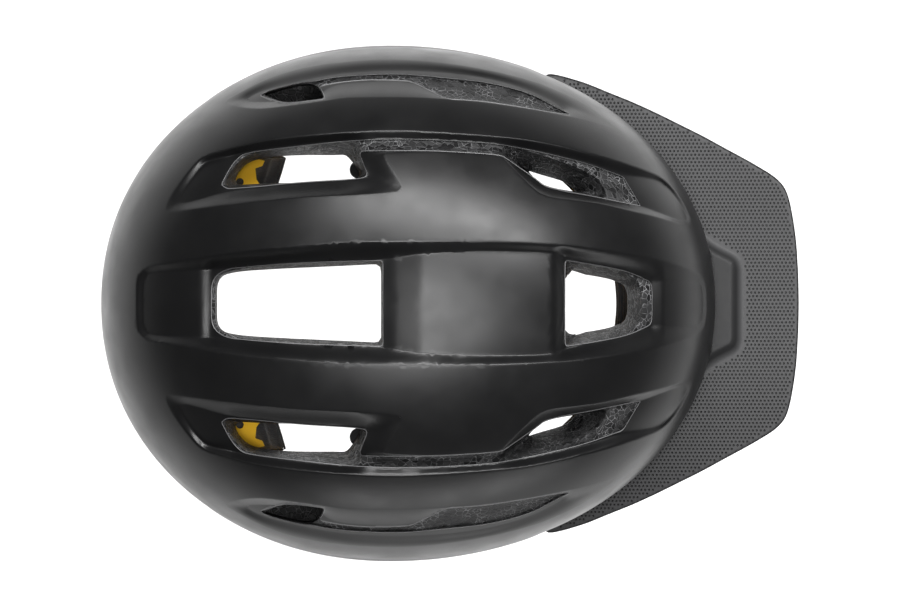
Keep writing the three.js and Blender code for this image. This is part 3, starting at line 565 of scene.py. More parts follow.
def disc_grid(n):
    """A square grid laid on the unit disc without a pole."""
    a, b = np.meshgrid(np.linspace(-1, 1, n), np.linspace(-1, 1, n), indexing="ij")
    wide = np.abs(a) > np.abs(b)
    with np.errstate(divide="ignore", invalid="ignore"):
        phi = np.where(wide, (math.pi / 4) * (b / a), math.pi / 2 - (math.pi / 4) * (a / b))
    phi = np.nan_to_num(phi)
    r = np.where(wide, a, b)
    return (r * np.cos(phi)).ravel(), (r * np.sin(phi)).ravel()


def dome_points(form, p, q, inset, bottom, depth=None, slack=0.0):
    """Disc coordinates, scaled so that the widest line is at 1, to points on the dome and its skirt."""
    t = np.hypot(p, q)
    theta = np.arctan2(q, p)
    top = np.minimum(t, 1)
    share = np.sin(top * math.pi / 2) ** (2 / form["round"])
    below = np.clip(t - 1, 0, None) / max(t.max() - 1, 1e-9)
    z_low = bottom(theta) * below
    step = brow_step(theta) * smooth((-1 - z_low) / 4) if form is SHELL else 0
    under = np.sqrt(1 - (z_low / form["low"]) ** 2)
    share = np.where(t > 1, under, share)
    off = inset + np.where(t > 1, step + slack * smooth(-z_low / 5), 0)
    x, y = plan(form, *outward(theta, share), off)
    z = np.where(t > 1, z_low, dome_z(form, np.minimum(share, 1), inset))
    if depth is not None:
        z = z - depth(x, np.abs(y))
    return np.column_stack([x, y, z])


def to_disc(form, line):
    u, v = unplan(form, line[:, 0], line[:, 1])
    share = np.minimum(share_of(u, v), 0.9999)
    t = np.arcsin(share ** (form["round"] / 2)) * 2 / math.pi
    theta = np.arctan2(v, u)
    return np.column_stack([t * np.cos(theta), t * np.sin(theta)])


def nearest_on(points, line):
    """Distance and nearest point of a closed line, for each of many points."""
    best = np.full(len(points), 1e9)
    spot = np.zeros_like(points)
    for a, b in zip(line, np.roll(line, -1, axis=0)):
        span = b - a
        t = np.clip(((points - a) @ span) / max(span @ span, 1e-12), 0, 1)
        foot = a + t[:, None] * span
        away = np.linalg.norm(points - foot, axis=1)
        closer = away < best
        best = np.where(closer, away, best)
        spot[closer] = foot[closer]
    return best, spot


def inside(points, line):
    x, y = points[:, 0], points[:, 1]
    within = np.zeros(len(points), bool)
    for (x0, y0), (x1, y1) in zip(line, np.roll(line, -1, axis=0)):
        if y0 != y1:
            crosses = (y0 > y) != (y1 > y)
            within ^= crosses & (x < x0 + (y - y0) * (x1 - x0) / (y1 - y0))
    return within


def grid_faces(n, points, on_line, within):
    """Triangles of the grid, with diagonals that follow the lines of the shape."""
    index = np.arange(n * n).reshape(n, n)
    a, b, c, d = cells_of(index).T

    def cost(i, j):
        crossing = ((within[i] != within[j]) & ~on_line[i] & ~on_line[j]).astype(float)
        return np.linalg.norm(points[i] - points[j], axis=1) + 20 * crossing - 5 * (on_line[i] & on_line[j])

    by_ac = (cost(a, c) <= cost(b, d))[:, None]
    first = np.where(by_ac, np.column_stack([a, b, c]), np.column_stack([a, b, d]))
    second = np.where(by_ac, np.column_stack([a, c, d]), np.column_stack([b, c, d]))
    return np.vstack([first, second]), border_of(index)


def fanned(points, upper, edge, middle):
    after = np.roll(edge, 1)
    points = np.vstack([points, middle])
    return points, np.vstack([upper, np.column_stack([edge, after, np.full(len(edge), len(points) - 1)])])


def dome_solid(name, form, inset, bottom, n, reach):
    """A plain closed dome: a grid over the top and the skirt, and a flat fan under it."""
    p, q = disc_grid(n)
    points = dome_points(form, p * reach, q * reach, inset, bottom)
    none = np.zeros(len(points), bool)
    upper, edge = grid_faces(n, points, none, none)
    points, faces = fanned(points, upper, edge, [form["xc"], 0, points[edge, 2].max() - 1.0])
    return mesh_object(name, points, faces.tolist())


# ------------------------------------------------------------------ outlines of channels and vents, in plan
# Of each channel: the crest where its wall starts, and the foot of the wall. Halves for y above 0.
CREST_A = [
    (-112, 0), (-112, 11), (-110, 13), (-107.5, 15.4), (-98, 17.2), (-85, 19.3), (-67, 22.2), (-50, 23.6),
    (-29, 25.4), (-17, 25.9), (10, 26.1), (40, 26.1), (70, 24.6), (83, 23.3), (97.5, 21.1), (112, 18.3),
    (122.6, 15), (127.6, 12.9), (130.4, 10), (131.2, 5), (131.4, 0),
]
FOOT_A = [
    (-109, 0), (-108.5, 12), (-105, 13.6), (-84, 14.2), (-73.8, 14.5), (-50, 16.6), (-36, 17.3),
    (-9, 18.2), (-3, 19), (8, 20.8), (30, 22), (50, 22), (64, 21.6), (69.9, 19.3), (79.6, 17),
    (86.7, 15.8), (97.5, 13.6), (106.8, 9.4), (115, 9.6), (128, 10), (129.5, 6), (129.8, 0),
]
DEEP_A = [
    (-109, 2.5), (-84, 5), (-79.6, 7.5), (-6.6, 6.5), (-2, 5), (10, 3.2), (65.2, 3.2), (69.9, 7),
    (107, 7), (112, 4), (131, 1.5),
]
CREST_B = [
    (-100.3, 38), (-90, 39.6), (-79, 40.8), (-60, 43), (-40, 45), (-17, 45.9), (-4, 46.7), (0.8, 47.6, 2),
    (1.3, 49, 1.5), (0.4, 51, 1.5), (-7.5, 63.5, 2), (10, 64.5), (24.4, 63.9), (38.7, 63, 2),
    (43.7, 62.3, 1.5), (44.8, 60.5, 1.5), (51.6, 53.7), (58, 47.3), (63, 44.8), (74.5, 43.7), (86, 42.3),
    (97.5, 39.4), (112, 36.2), (126, 31.8, 2), (125.4, 35.1), (121.8, 42.3), (117.5, 48.7), (113, 53),
    (109, 55.2), (101, 58), (90, 61.3), (80, 63.8), (67, 67), (50, 69.9), (31.5, 71.3), (10, 72.7),
    (-4, 73.1), (-17, 72.5), (-36, 71.3), (-50, 69.9), (-60, 68.4), (-70, 65.9), (-79, 63.8),
    (-84.6, 61.6), (-89, 56.6), (-97, 46.6),
]
FOOT_B = [
    (-94, 42.5), (-88, 43), (-73, 47.8), (-60, 48.8), (-50, 49.9), (-36, 51), (-20, 51.8),
    (-13.5, 52.6, 1.5), (-12.5, 54, 1), (-15, 60), (-16, 66.2, 1.5), (10, 67.3), (24, 66.9), (38.7, 65.9),
    (46.5, 63.4, 1.5), (50, 58.2), (57.3, 53), (61.6, 49.6), (65.9, 48.6), (70, 47.5), (80, 45.9),
    (90, 43.9), (102.8, 41.4), (112, 38), (122, 34.5), (123, 37), (119.5, 43), (115, 49), (110, 53),
    (97, 54.6), (90, 56), (80, 59.6), (67, 62.8), (50, 66.4), (39.4, 68), (24, 69), (0, 69.6),
    (-20, 69.2), (-36, 67.5), (-50, 66), (-64.5, 64.3), (-72, 62.5), (-80, 60.8), (-84, 58.5), (-90, 50),
]
DEEP_B = [
    (-94, 2), (-75, 5), (-70, 6.5), (-24, 6.5), (-14, 4), (42, 4), (52, 6.5), (90, 6.5), (100, 5),
    (125, 1.5),
]
CREST_C = [
    (-76, 85.3), (-62.4, 82.4), (-50, 83.5), (-29, 86.3), (-23.7, 87.3), (-4, 87.6), (10, 87.3),
    (20, 86.7), (31.5, 86), (53, 83.1), (70, 80), (80, 78), (93.5, 74, 1), (87, 79.5), (80, 84.6),
    (70, 89.6), (60, 93.9), (46, 97.8), (31.5, 100.7), (17, 102.8), (3, 103.9), (-11, 103.9),
    (-29, 102.5), (-40, 100.7), (-50, 98.2), (-60, 94.3), (-70, 89),
]
FOOT_C = [
    (-66, 86), (-60, 85.6), (-50, 85.8), (-34, 88.2), (-29, 93), (-10, 94.3), (5, 94.2), (20, 89),
    (31.5, 88.2), (53, 85.5), (65, 83), (72, 82), (63.8, 86.9), (53, 91.7), (38.7, 95.7), (24.4, 97.8),
    (10, 98.9), (-8, 99.1), (-26, 97.8), (-38, 95.6), (-50, 93), (-58, 90.8), (-64, 88),
]
DEEP_C = [(-76, 4), (93, 4)]

VENT_A_REAR = [
    (-79.6, 0), (-79.6, 10), (-73.8, 14.7), (-64, 15.6), (-50, 16.8), (-36, 17.5), (-12, 18.1),
    (-6.6, 18.3, 2), (-6.6, 0),
]
VENT_A_FRONT = [
    (70, 0), (70, 16), (70.4, 18.3, 1), (79.6, 17), (86.7, 15.8), (97.5, 13.6), (106.8, 9.2, 1.5),
    (107.5, 6), (107.5, 0),
]
VENT_B = [
    (-75.3, 50, 1), (-73, 48.4, 1.5), (-60, 49.2), (-50, 50.3), (-36, 51.4), (-20, 52.2), (-14, 53, 3),
    (-13.3, 54.8, 1), (-16.5, 63.1, 1), (-15.8, 64.3, 1), (10, 64.5), (24.4, 63.9), (38.7, 63),
    (43.7, 62.3, 1.5), (50, 58), (57.3, 53), (61.6, 49.4), (65.9, 48.4), (70, 47.3), (80, 45.7),
    (90, 43.7), (102.8, 41.2, 1), (100.3, 45.5), (97.5, 50.2), (95.3, 54.1, 2), (90, 55.9), (80, 59.5),
    (67, 62.7), (50, 66.3), (39.4, 67.9), (20, 69.2), (0, 69.7), (-20, 69.1), (-36, 67.4), (-50, 65.9),
    (-64.5, 64.1), (-68, 62.3), (-71.7, 58), (-75.3, 50.9, 1),
]
VENT_C = [
    (-59.8, 88.5, 1), (-49.5, 84.8), (-43, 85.1), (-31.5, 86.6, 1.5), (-31.9, 88.5, 1), (-33.7, 92.3, 1),
    (-28.7, 93.5), (-17, 94.9), (-5, 95), (5, 94.4, 3), (20, 86.6, 3), (31.5, 86), (38.7, 85.3),
    (53, 83.1), (67.4, 80.6), (73, 80.3, 1), (63.8, 85.3), (56.6, 89.2), (46, 92.4), (34.4, 94.7),
    (20, 96), (3.2, 97.8), (-11.5, 97.6), (-28.7, 96.4), (-37.3, 94.4), (-41.6, 94.4), (-50, 92.4),
    (-57.3, 90.3),
]
CHANNELS = [
    (rounded(both(CREST_A)), rounded(both(FOOT_A)), DEEP_A),
    (rounded(CREST_B), rounded(FOOT_B), DEEP_B),
    (rounded(CREST_C), rounded(FOOT_C), DEEP_C),
]


def channel_depth(x, y):
    """How far the channels sink the surface below the dome, for y above 0."""
    depth = np.zeros(len(x))
    at = np.column_stack([x, y])
    for crest, foot, deep in CHANNELS:
        low, high = crest.min(axis=0) - 1, crest.max(axis=0) + 1
        near = np.flatnonzero(((at > low) & (at < high)).all(axis=1))
        here = at[near]
        to_crest, to_foot = nearest_on(here, crest)[0], nearest_on(here, foot)[0]
        share = to_crest / np.maximum(to_crest + to_foot, 1e-9)
        share = np.where(inside(here, foot), 1, np.where(inside(here, crest), share, 0))
        share = np.where(to_crest < 1e-3, 0, np.where(to_foot < 1e-3, 1, share))
        share = 0.5 * share + 0.5 * smooth(share)
        most = np.interp(here[:, 0], [d[0] for d in deep], [d[1] for d in deep])
        depth[near] = np.maximum(depth[near], share * most)
    return depth


RELAX_ROUNDS = 10  # evens out the grid next to the lines


def sculpted(rings, reach, bottom, inset=0.0, slack=0.0):
    """The channelled dome on a grid with edges along each crest and foot: points, faces, border, lines."""
    n = 2 * rings
    p, q = disc_grid(n)
    p, q = p * reach, q * reach
    plain = dome_points(SHELL, p, q, 0, bottom)[:, :2]
    on_line = np.zeros(n * n, bool)
    line_of = np.zeros(n * n, int)
    within = np.zeros(n * n, int)
    closest = np.full(n * n, 1e9)
    target = plain.copy()
    inner = np.hypot(p, q) < 0.99
    index = np.arange(n * n).reshape(n, n)
    pairs = [(index[:-1].ravel(), index[1:].ravel()), (index[:, :-1].ravel(), index[:, 1:].ravel())]
    number = 1
    for crest, foot, _ in CHANNELS:
        for line in (crest, foot, crest * [1, -1], foot * [1, -1]):
            low, high = line.min(axis=0) - 4, line.max(axis=0) + 4
            near = np.flatnonzero(((plain > low) & (plain < high)).all(axis=1) & inner)
            hit = np.zeros(n * n, bool)
            hit[near] = inside(plain[near], line)
            away = np.full(n * n, 1e9)
            spot = plain.copy()
            away[near], spot[near] = nearest_on(plain[near], line)
            within += number * hit
            number *= 2
            for i, j in pairs:
                crossing = hit[i] != hit[j]
                i, j = i[crossing], j[crossing]
                pick = np.where(away[i] < away[j], i, j)
                pick = pick[(away[pick] < closest[pick]) & inner[pick]]
                target[pick] = spot[pick]
                closest[pick] = away[pick]
                on_line[pick] = True
                line_of[pick] = number
    moved = np.flatnonzero(on_line)
    disc = to_disc(SHELL, target[moved])
    p[moved], q[moved] = disc[:, 0], disc[:, 1]
    grid = np.column_stack([p, q]).reshape(n, n, 2)
    free = (~on_line & (np.hypot(p, q) < 0.93)).reshape(n, n)
    for _ in range(RELAX_ROUNDS):
        around = sum(np.roll(grid, step, axis) for step in (1, -1) for axis in (0, 1)) / 4
        grid[free] = (grid[free] + around[free]) / 2
    p, q = grid.reshape(-1, 2).T
    outer = dome_points(SHELL, p, q, 0, bottom, channel_depth, slack)
    t = np.minimum(np.hypot(p, q), 1)
    sink = smooth((1 - t) / 0.5)
    inward = inset * (1 - 0.7 * sink)
    outer[:, 0] -= inward * (outer[:, 0] - SHELL["xc"]) / 125
    outer[:, 1] -= inward * outer[:, 1] / SHELL["half"]
    outer[:, 2] -= inset * smooth((1 - t) / 0.02) * (0.6 + 0.4 * sink)
    upper, edge = grid_faces(n, outer, on_line, within)
    return outer, upper, edge, line_of


def two_sided(outline, low, high):
    return [prism(outline, low, high), prism(mirrored(outline), low, high)]


# ------------------------------------------------------------------ outer shell
RINGS = 108
SHELL_REACH = 1.04
EXTRA_RINGS = 10  # the foam's skirt goes further down than the shell's
FOAM_REACH = SHELL_REACH * (2 * (RINGS + EXTRA_RINGS) - 1) / (2 * RINGS - 1)
FOAM_UNDER = SKIN + 0.12

LINE_ROUND = 0.4
LINE_GAP = 0.55  # points of a line nearer than this become one


def rounded_lines(piece, line_of):
    """Rounds the edges between points that lie on the same crest or foot."""
    with edited(piece) as bm:
        mark = bm.verts.layers.int.new("line")
        bm.verts.ensure_lookup_table()
        for i in np.flatnonzero(line_of):
            bm.verts[int(i)][mark] = int(line_of[i])
        joined, used = {}, set()
        for e in bm.edges:
            a, b = e.verts
            if a[mark] and a[mark] == b[mark] and e.calc_length() < LINE_GAP * MM:
                if a not in used and b not in used:
                    joined[a] = b
                    used |= {a, b}
        bmesh.ops.weld_verts(bm, targetmap=joined)
        bmesh.ops.dissolve_degenerate(bm, dist=0.06 * MM, edges=bm.edges)
        edges = [e for e in bm.edges if e.verts[0][mark] and e.verts[0][mark] == e.verts[1][mark]]
        bmesh.ops.bevel(
            bm, geom=edges, offset=LINE_ROUND * MM, offset_type="OFFSET", segments=2, profile=0.5,
            affect="EDGES", clamp_overlap=False,
        )


outer, upper, edge, line_of = sculpted(RINGS, SHELL_REACH, level(SHELL_EDGE))
lower = sculpted(RINGS, SHELL_REACH, level(SHELL_EDGE), SKIN)[0]
count, after = len(outer), np.roll(edge, 1)
ring = [np.column_stack([edge, after, after + count]), np.column_stack([edge, after + count, edge + count])]
faces = np.vstack([upper, upper[:, ::-1] + count, *ring])
shell = mesh_object("shell_upper", np.vstack([outer, lower]), faces.tolist())
rounded_lines(shell, line_of)
vents = [prism(rounded(both(VENT_A_REAR)), 40, 130), prism(rounded(both(VENT_A_FRONT)), 40, 130)]
vents += two_sided(rounded(VENT_B), 30, 130) + two_sided(rounded(VENT_C), 20, 130)
combine(shell, *vents)
finished(shell, ["outer_shell"], sharp=60, weighted=True)

# The trimmed edge of the shell round each vent, a thin bead, painted paler as a painted highlight along the
# edge.
EDGE_BEAD = 0.34
BEAD_SUNK = 0.75
lines = [rounded(both(VENT_A_REAR)), rounded(both(VENT_A_FRONT))]
for outline in (VENT_B, VENT_C):
    lines += [rounded(outline), mirrored(rounded(outline))]
beads = []
for line in lines:
    path = evenly(line, int(np.linalg.norm(line - np.roll(line, 1, axis=0), axis=1).sum()))
    z = height(SHELL, path[:, 0], path[:, 1]) - channel_depth(path[:, 0], np.abs(path[:, 1])) - BEAD_SUNK
    beads.append(tube(np.column_stack([path, z]), EDGE_BEAD))
points, faces = merged(beads)
edges = finished(mesh_object("shell_trim", points, faces), [], sharp=80, body="helmet", slot="shell")
edges.data.materials[0] = painted_edge_highlight

# ------------------------------------------------------------------ foam liner
FOAM_LOW = 2.0
LIP_DEEP = 6.0
PASSAGE_GROWN = 0.6  # the middle passages are wider than the shell's openings by this

points, upper, edge, _ = sculpted(
    RINGS + EXTRA_RINGS, FOAM_REACH, lambda theta: rim_z(theta) + FOAM_LOW, FOAM_UNDER, 1.0
)
points, faces = fanned(points, upper, edge, [SHELL["xc"], 0, -22])
foam = mesh_object("foam_body", points, faces.tolist())
cavity = dome_solid("cavity", CAVITY, 0, level(-90), 180, 1.5)
combine(foam, cavity)

HEAD_A_REAR = [(-77.5, 0), (-77.5, 11), (-70, 13.5), (-50, 14.7), (-9, 16.5, 2), (-7.8, 15, 1), (-7.8, 0)]
HEAD_A_FRONT = [(70.5, 0), (70.5, 13.3, 1), (88, 11), (96, 8, 2), (97.3, 4), (97.3, 0)]
HEAD_B_REAR = [
    (-68.8, 50.4, 1.5), (-50, 51.4), (-19.4, 52.5, 2), (-18.8, 54.5, 1), (-20.5, 58.5, 1.5),
    (-23, 63, 1.5), (-48, 63.2), (-61, 61.5), (-65.3, 59.7), (-68.8, 55.9), (-70.3, 52.3),
]
HEAD_B_FRONT = [(54, 57), (60, 51), (66, 49), (75.3, 47.5, 1), (73, 50.2), (70, 52.2), (57.7, 55.5)]
HEAD_C_REAR = [
    (-58, 88.8), (-50, 85.6), (-43, 85.7), (-32.2, 87.1, 1), (-32.6, 88.7, 1), (-34.4, 92, 1),
    (-37.5, 93.6, 1), (-42, 93.6), (-50, 91.8), (-57, 89.8),
]
TOP_B_REAR = [
    (-76, 49), (-73, 47.5), (-60, 48.2), (-50, 49.3), (-36, 50.4), (-20, 51.2), (-13, 52), (-12, 55),
    (-15.5, 64.5), (-17, 69.5), (-36, 68.4), (-50, 66.9), (-64.5, 65.1), (-69, 63.3), (-76, 52),
]
TOP_B_FRONT = [
    (43, 63.5), (50, 57), (57.3, 52), (61.6, 48.4), (70, 46.3), (80, 44.7), (96, 41.7), (97, 48),
    (94, 54), (90, 57), (80, 60.5), (67, 63.7), (50, 67.3), (44, 68.5),
]


def tapered(top, head, high, low):
    """A vent's passage: the shell's opening at the top, narrowing to the opening at the head."""
    count = 96
    loops = []
    for outline, z in ((head, low - 30), (head, low), (top, high), (top, high + 60)):
        ring = evenly(outline, count)
        loops.append(np.column_stack([ring, np.full(count, z)]))
    return fixed_normals(loft(loops, "passage"))


passages = []
for top, head, high, low in ((VENT_A_REAR, HEAD_A_REAR, 95, 76), (VENT_A_FRONT, HEAD_A_FRONT, 74, 50)):
    wider = [(x, y + PASSAGE_GROWN if y else 0, *r) for x, y, *r in top]
    passages.append(tapered(rounded(both(wider)), rounded(both(head)), high, low))
SIDE_PASSAGES = [
    (TOP_B_REAR, HEAD_B_REAR, 80, 52),
    (TOP_B_FRONT, HEAD_B_FRONT, 76, 46),
    (HEAD_C_REAR, HEAD_C_REAR, 60, 30),
]
for side in (1, -1):
    for top, head, high, low in SIDE_PASSAGES:
        passages.append(tapered(rounded(top) * [1, side], rounded(head) * [1, side], high, low))
combine(foam, *passages)
finished(foam, ["foam_liner"], sharp=40)

# ------------------------------------------------------------------ lower shell


def skirt(theta, z, inset):
    """Points on the skirt: arrays of angle, height and inset."""
    share = np.sqrt(1 - (z / SHELL["low"]) ** 2)
    x, y = plan(SHELL, *outward(theta, share), inset + brow_step(theta) * smooth((-1 - z) / 4))
    return np.column_stack([x, y, z])


def ring_solid(name, loops):
    """A ring-shaped solid: loops has an array of points round the ring for each corner of its section."""
    faces = ring_faces(len(loops), len(loops[0]), closed=True)
    return fixed_normals(mesh_object(name, np.vstack(loops), faces))


around = np.linspace(-math.pi, math.pi, 420, endpoint=False)
rims = rim_z(around)
bulge = 1.6 * (1 - smooth((np.abs(np.abs(around) - 1.65) - 0.55) / 0.25))
top_z = SHELL_EDGE - 0.3
band = []
BAND_SECTION = [
    (0, 0), (0.03, 0.25), (0.3, 1), (0.38, 1.05), (0.75, 0.75), (0.93, 0.35), (0.98, 0.12), (1, -0.4),
]
for share, out in BAND_SECTION:
    band.append(skirt(around, top_z + (rims - top_z) * share, -bulge * out + 0.15))
lip = rims + FOAM_LOW - 0.3
for z, inset in ((rims, 2.5), (rims, LIP_DEEP), (lip, LIP_DEEP), (lip, 1.8)):
    band.append(skirt(around, z, inset + 0.15))
band.append(skirt(around, top_z + (rims - top_z) * 0.35, 1.95))
band.append(skirt(around, top_z + 0 * around, 1.95))
finished(ring_solid("shell_lower", band), ["lower_shell"], sharp=40)

# ------------------------------------------------------------------ slip liner
SLIP_OUT = 1.6
SLIP_SKIN = 1.0
SLIP_LOW = 7.0
SLIP_HOLE = (-68.2, 51.8, 1.7)
SLIP_ANCHORS = [(66, 34), (-82, 44)]
SLIP_WINDOWS = [
    (both([(-80.5, 0), (-80.5, 11), (-71, 16.5), (-50, 17.7), (-9, 19.5), (-4.8, 17), (-4.8, 0)]), True),
    (both([(67.5, 0), (67.5, 16.3), (88, 14), (98, 11), (100, 0)]), True),
    ([(51, 59), (60, 48), (66, 46), (79, 45), (75, 53), (68, 57), (57, 60)], False),
    (
        [(-60.4, 48), (-14, 50), (-14, 60), (-22, 66), (-50, 66), (-60.2, 63), (-60.4, 61.6, 0.4),
         (-57.6, 60.9, 0.4), (-58.6, 58.6, 0.4), (-61.6, 57.6, 0.4)],
        False,
    ),
    ([(-44, 66, 2), (24, 70, 2), (24, 76, 2), (-44, 74, 2)], False),
]


def circle(x, y, r):
    turn = np.linspace(0, math.tau, 28, endpoint=False)
    return np.column_stack([x + r * np.cos(turn), y + r * np.sin(turn)])


slip = dome_solid("slip_sheet", CAVITY, SLIP_OUT, level(-10), 150, 1.06)
within = dome_solid("within", CAVITY, SLIP_OUT + SLIP_SKIN, level(-20), 150, 1.12)
square = np.array([(-140, -120), (140, -120), (140, 120), (-140, 120)], float)
tools = [within, prism(square, -60, SLIP_LOW)]
for outline, across in SLIP_WINDOWS:
    line = rounded(outline)
    tools += [prism(line, 0, 130)] if across else two_sided(line, 0, 130)
for side in SIDES.values():
    x, y, r = SLIP_HOLE
    tools.append(prism(circle(x, side * y, r), 0, 130))
    for x, y in SLIP_ANCHORS:
        tools.append(prism(circle(x, side * y, 3.4), 0, 130))
combine(slip, *tools)
finished(slip, ["slip_liner"], sharp=40)

# Hook dots under the liner, seen through its round holes and at the edges of its windows.
HOOK_DOTS = {"rear": (-68.2, 51.8, 3.2), "middle": (-17.2, 56.9, 4.0)}
for side, s in SIDES.items():
    for place, (x, y, r) in HOOK_DOTS.items():
        line = circle(x, s * y, r)
        under = height(CAVITY, line[:, 0], line[:, 1], SLIP_OUT + SLIP_SKIN + 0.3)
        loops = [np.column_stack([line, under - deep]) for deep in (0.9, 0)]
        dot = fixed_normals(loft(loops, f"hook_dot_{place}_{side}"))
        finished(dot, [], sharp=50, body="slip", slot=NODE_SLOT[f"rear_pad_{side}"])

# ------------------------------------------------------------------ visor
VISOR_OUTER = [
    (62, 99.6), (69, 98.5), (80, 95.2), (90, 91), (100, 87), (110, 82.4), (120, 77.4), (130, 72.4),
    (140.5, 66.6), (151, 60.9), (160.5, 55.2), (164, 52), (166.3, 48.7), (168, 43), (169.5, 34.4),
    (170.6, 25.8), (171.4, 11.5), (171.6, 0),
]
BOSS = [
    (128, 31), (132, 29.7), (135.5, 26.5), (144, 22.2, 1), (146.6, 20.1, 1.5), (147.8, 16, 1.5),
    (147.8, 0),
]
BOSS_HIGH = 2.2
BOSS_RUN = 6.0
BOSS_MARGIN = 0.9  # no dimples nearer than this
DIMPLE = dict(pitch=1.654, row=1.605, rim=0.56, foot=0.34, deep=0.42, margin=1.5)
VISOR_BLOCK = ((56, -106), (178, 106))  # the visor is cut from a sheet of this size
VISOR_THICK = 2.4
VISOR_ROUND = 0.8
ROOT_CLEAR = 0.7


def visor_z(x, y):
    return VISOR_HIGH - VISOR_BOW * y**2 + VISOR_LEAN * (x - VISOR_FROM)


def brow_line(clear, span=0.99, count=160):
    theta = np.linspace(-span, span, count)
    return np.column_stack(plan(SHELL, *outward(theta, 0.9985), brow_step(theta) - clear))


def closed_block(points, faces, floor_z, rectangle):
    """A sheet of faces made solid: its border is drawn out to a rectangle and down to floor_z."""
    count = {}
    for face in faces:
        for a, b in zip(face, face[1:] + face[:1]):
            count[(a, b)] = count.get((a, b), 0) + 1
    follows = {a: b for a, b in count if (b, a) not in count}
    start = next(iter(follows))
    loop = [start]
    while follows[loop[-1]] != start:
        loop.append(follows[loop[-1]])
    low, high = np.array(rectangle, float)
    middle, size = (low + high) / 2, high - low
    away = (points[loop][:, :2] - middle) * [size[1] / size[0], 1]
    base = middle + np.hypot(*size) * unit(away)
    base = np.column_stack([base, np.full(len(loop), floor_z)])
    n, m = len(points), len(loop)
    sides = [(loop[i], n + i, n + (i + 1) % m, loop[(i + 1) % m]) for i in range(m)]
    return np.vstack([points, base]), faces + sides + [tuple(range(n, n + m))[::-1]]


def dimpled_sheet(zone):
    """A hexagonal tiling with a dimple in every cell that the zone allows."""
    p, r = DIMPLE["pitch"], DIMPLE["row"]
    (x0, y0), (x1, y1) = VISOR_BLOCK
    nx, ny = int((x1 - x0) / p), int((y1 - y0) / r)
    i, j = np.meshgrid(np.arange(nx), np.arange(ny), indexing="ij")
    centre = np.stack([x0 + (i + 0.5 * (j % 2)) * p, y0 - 0.1 + j * r], axis=-1)
    corner = [(p / 2, r / 3), (0, 2 * r / 3), (-p / 2, r / 3)]
    turns = unit(np.array(corner + [(-x, -y) for x, y in corner]))
    rings = [centre[..., None, :] + turns * DIMPLE[size] for size in ("foot", "rim")]
    flat = np.concatenate([centre[..., None, :], *rings], axis=2)
    sunk = zone(centre.reshape(-1, 2)).reshape(nx, ny)
    low = np.zeros((nx, ny, 13))
    low[..., 0] = DIMPLE["deep"]
    low[..., 1:7] = DIMPLE["deep"] * 0.85
    low *= sunk[..., None]
    points = np.concatenate([flat, -low[..., None]], axis=-1).reshape(-1, 3)

    def at(a, b, k):
        return (a * ny + b) * 13 + k

    faces = []
    for a in range(nx):
        for b in range(ny):
            for k in range(6):
                f = (k + 1) % 6
                faces.append((at(a, b, 0), at(a, b, 1 + k), at(a, b, 1 + f)))
                faces.append((at(a, b, 1 + k), at(a, b, 7 + k), at(a, b, 7 + f), at(a, b, 1 + f)))
            right = a + 1
            up_right, up_left = a + (b % 2), a + (b % 2) - 1
            if right < nx:
                faces.append((at(a, b, 7), at(a, b, 12), at(right, b, 10), at(right, b, 9)))
            if b + 1 < ny:
                if up_right < nx:
                    faces.append((at(a, b, 7), at(up_right, b + 1, 11), at(up_right, b + 1, 10), at(a, b, 8)))
                if up_left >= 0:
                    faces.append((at(a, b, 8), at(up_left, b + 1, 12), at(up_left, b + 1, 11), at(a, b, 9)))
                if right < nx and up_right < nx:
                    faces.append((at(a, b, 7), at(right, b, 9), at(up_right, b + 1, 11)))
                if up_right < nx and up_left >= 0:
                    faces.append((at(a, b, 8), at(up_right, b + 1, 10), at(up_left, b + 1, 12)))
    return points, faces


brow = brow_line(ROOT_CLEAR)
ring_points = VISOR_OUTER + [(x, -y) for x, y in VISOR_OUTER[-2::-1]]
outline = rounded([(x, y, 4) for x, y in ring_points], 5)
outline = outline[outline[:, 0] > 62.5]
outline = outline[np.argsort(-np.arctan2(outline[:, 1], outline[:, 0] - 60))]
visor_plan = np.vstack([outline, brow[np.argsort(brow[:, 1])]])
boss_line = rounded(both(BOSS), 5)


def dimple_zone(at):
    clear = nearest_on(at, visor_plan)[0] > DIMPLE["margin"]
    on_boss = inside(at, boss_line) | (nearest_on(at, boss_line)[0] < BOSS_MARGIN)
    return inside(at, visor_plan) & clear & ~on_boss


points, faces = dimpled_sheet(dimple_zone)
flat = points[:, :2]
rise = BOSS_HIGH * smooth(nearest_on(flat, boss_line)[0] / BOSS_RUN) * inside(flat, boss_line)
to_edge = nearest_on(flat, outline)[0]
edge_drop = VISOR_ROUND * np.clip(1 - to_edge / VISOR_ROUND, 0, 1) ** 2
points[:, 2] += visor_z(flat[:, 0], flat[:, 1]) + rise - edge_drop
points, faces = closed_block(points, faces, -90, VISOR_BLOCK)
visor = mesh_object("visor_peak", points, faces)

grid = np.arange(40 * 81).reshape(40, 81)
x, y = (c.ravel() for c in np.meshgrid(np.linspace(40, 190, 40), np.linspace(-120, 120, 81), indexing="ij"))
under = np.column_stack([x, y, visor_z(x, y) - VISOR_THICK])
n, rim = len(under), border_of(grid)
m = len(rim)
under = np.vstack([under, [(x, y, 40) for x, y, _ in under[rim]]])
sides = [(int(rim[i]), int(rim[(i + 1) % m]), n + (i + 1) % m, n + i) for i in range(m)]
under_faces = cells_of(grid)[:, ::-1].tolist()
above = fixed_normals(mesh_object("above", under, under_faces + sides + [tuple(range(n, n + m))]))
combine(visor, above, prism(visor_plan, -80, 60), operation="INTERSECT")
finished(visor, ["visor"], sharp=45)

# ------------------------------------------------------------------ small hard parts, from the CAD solids


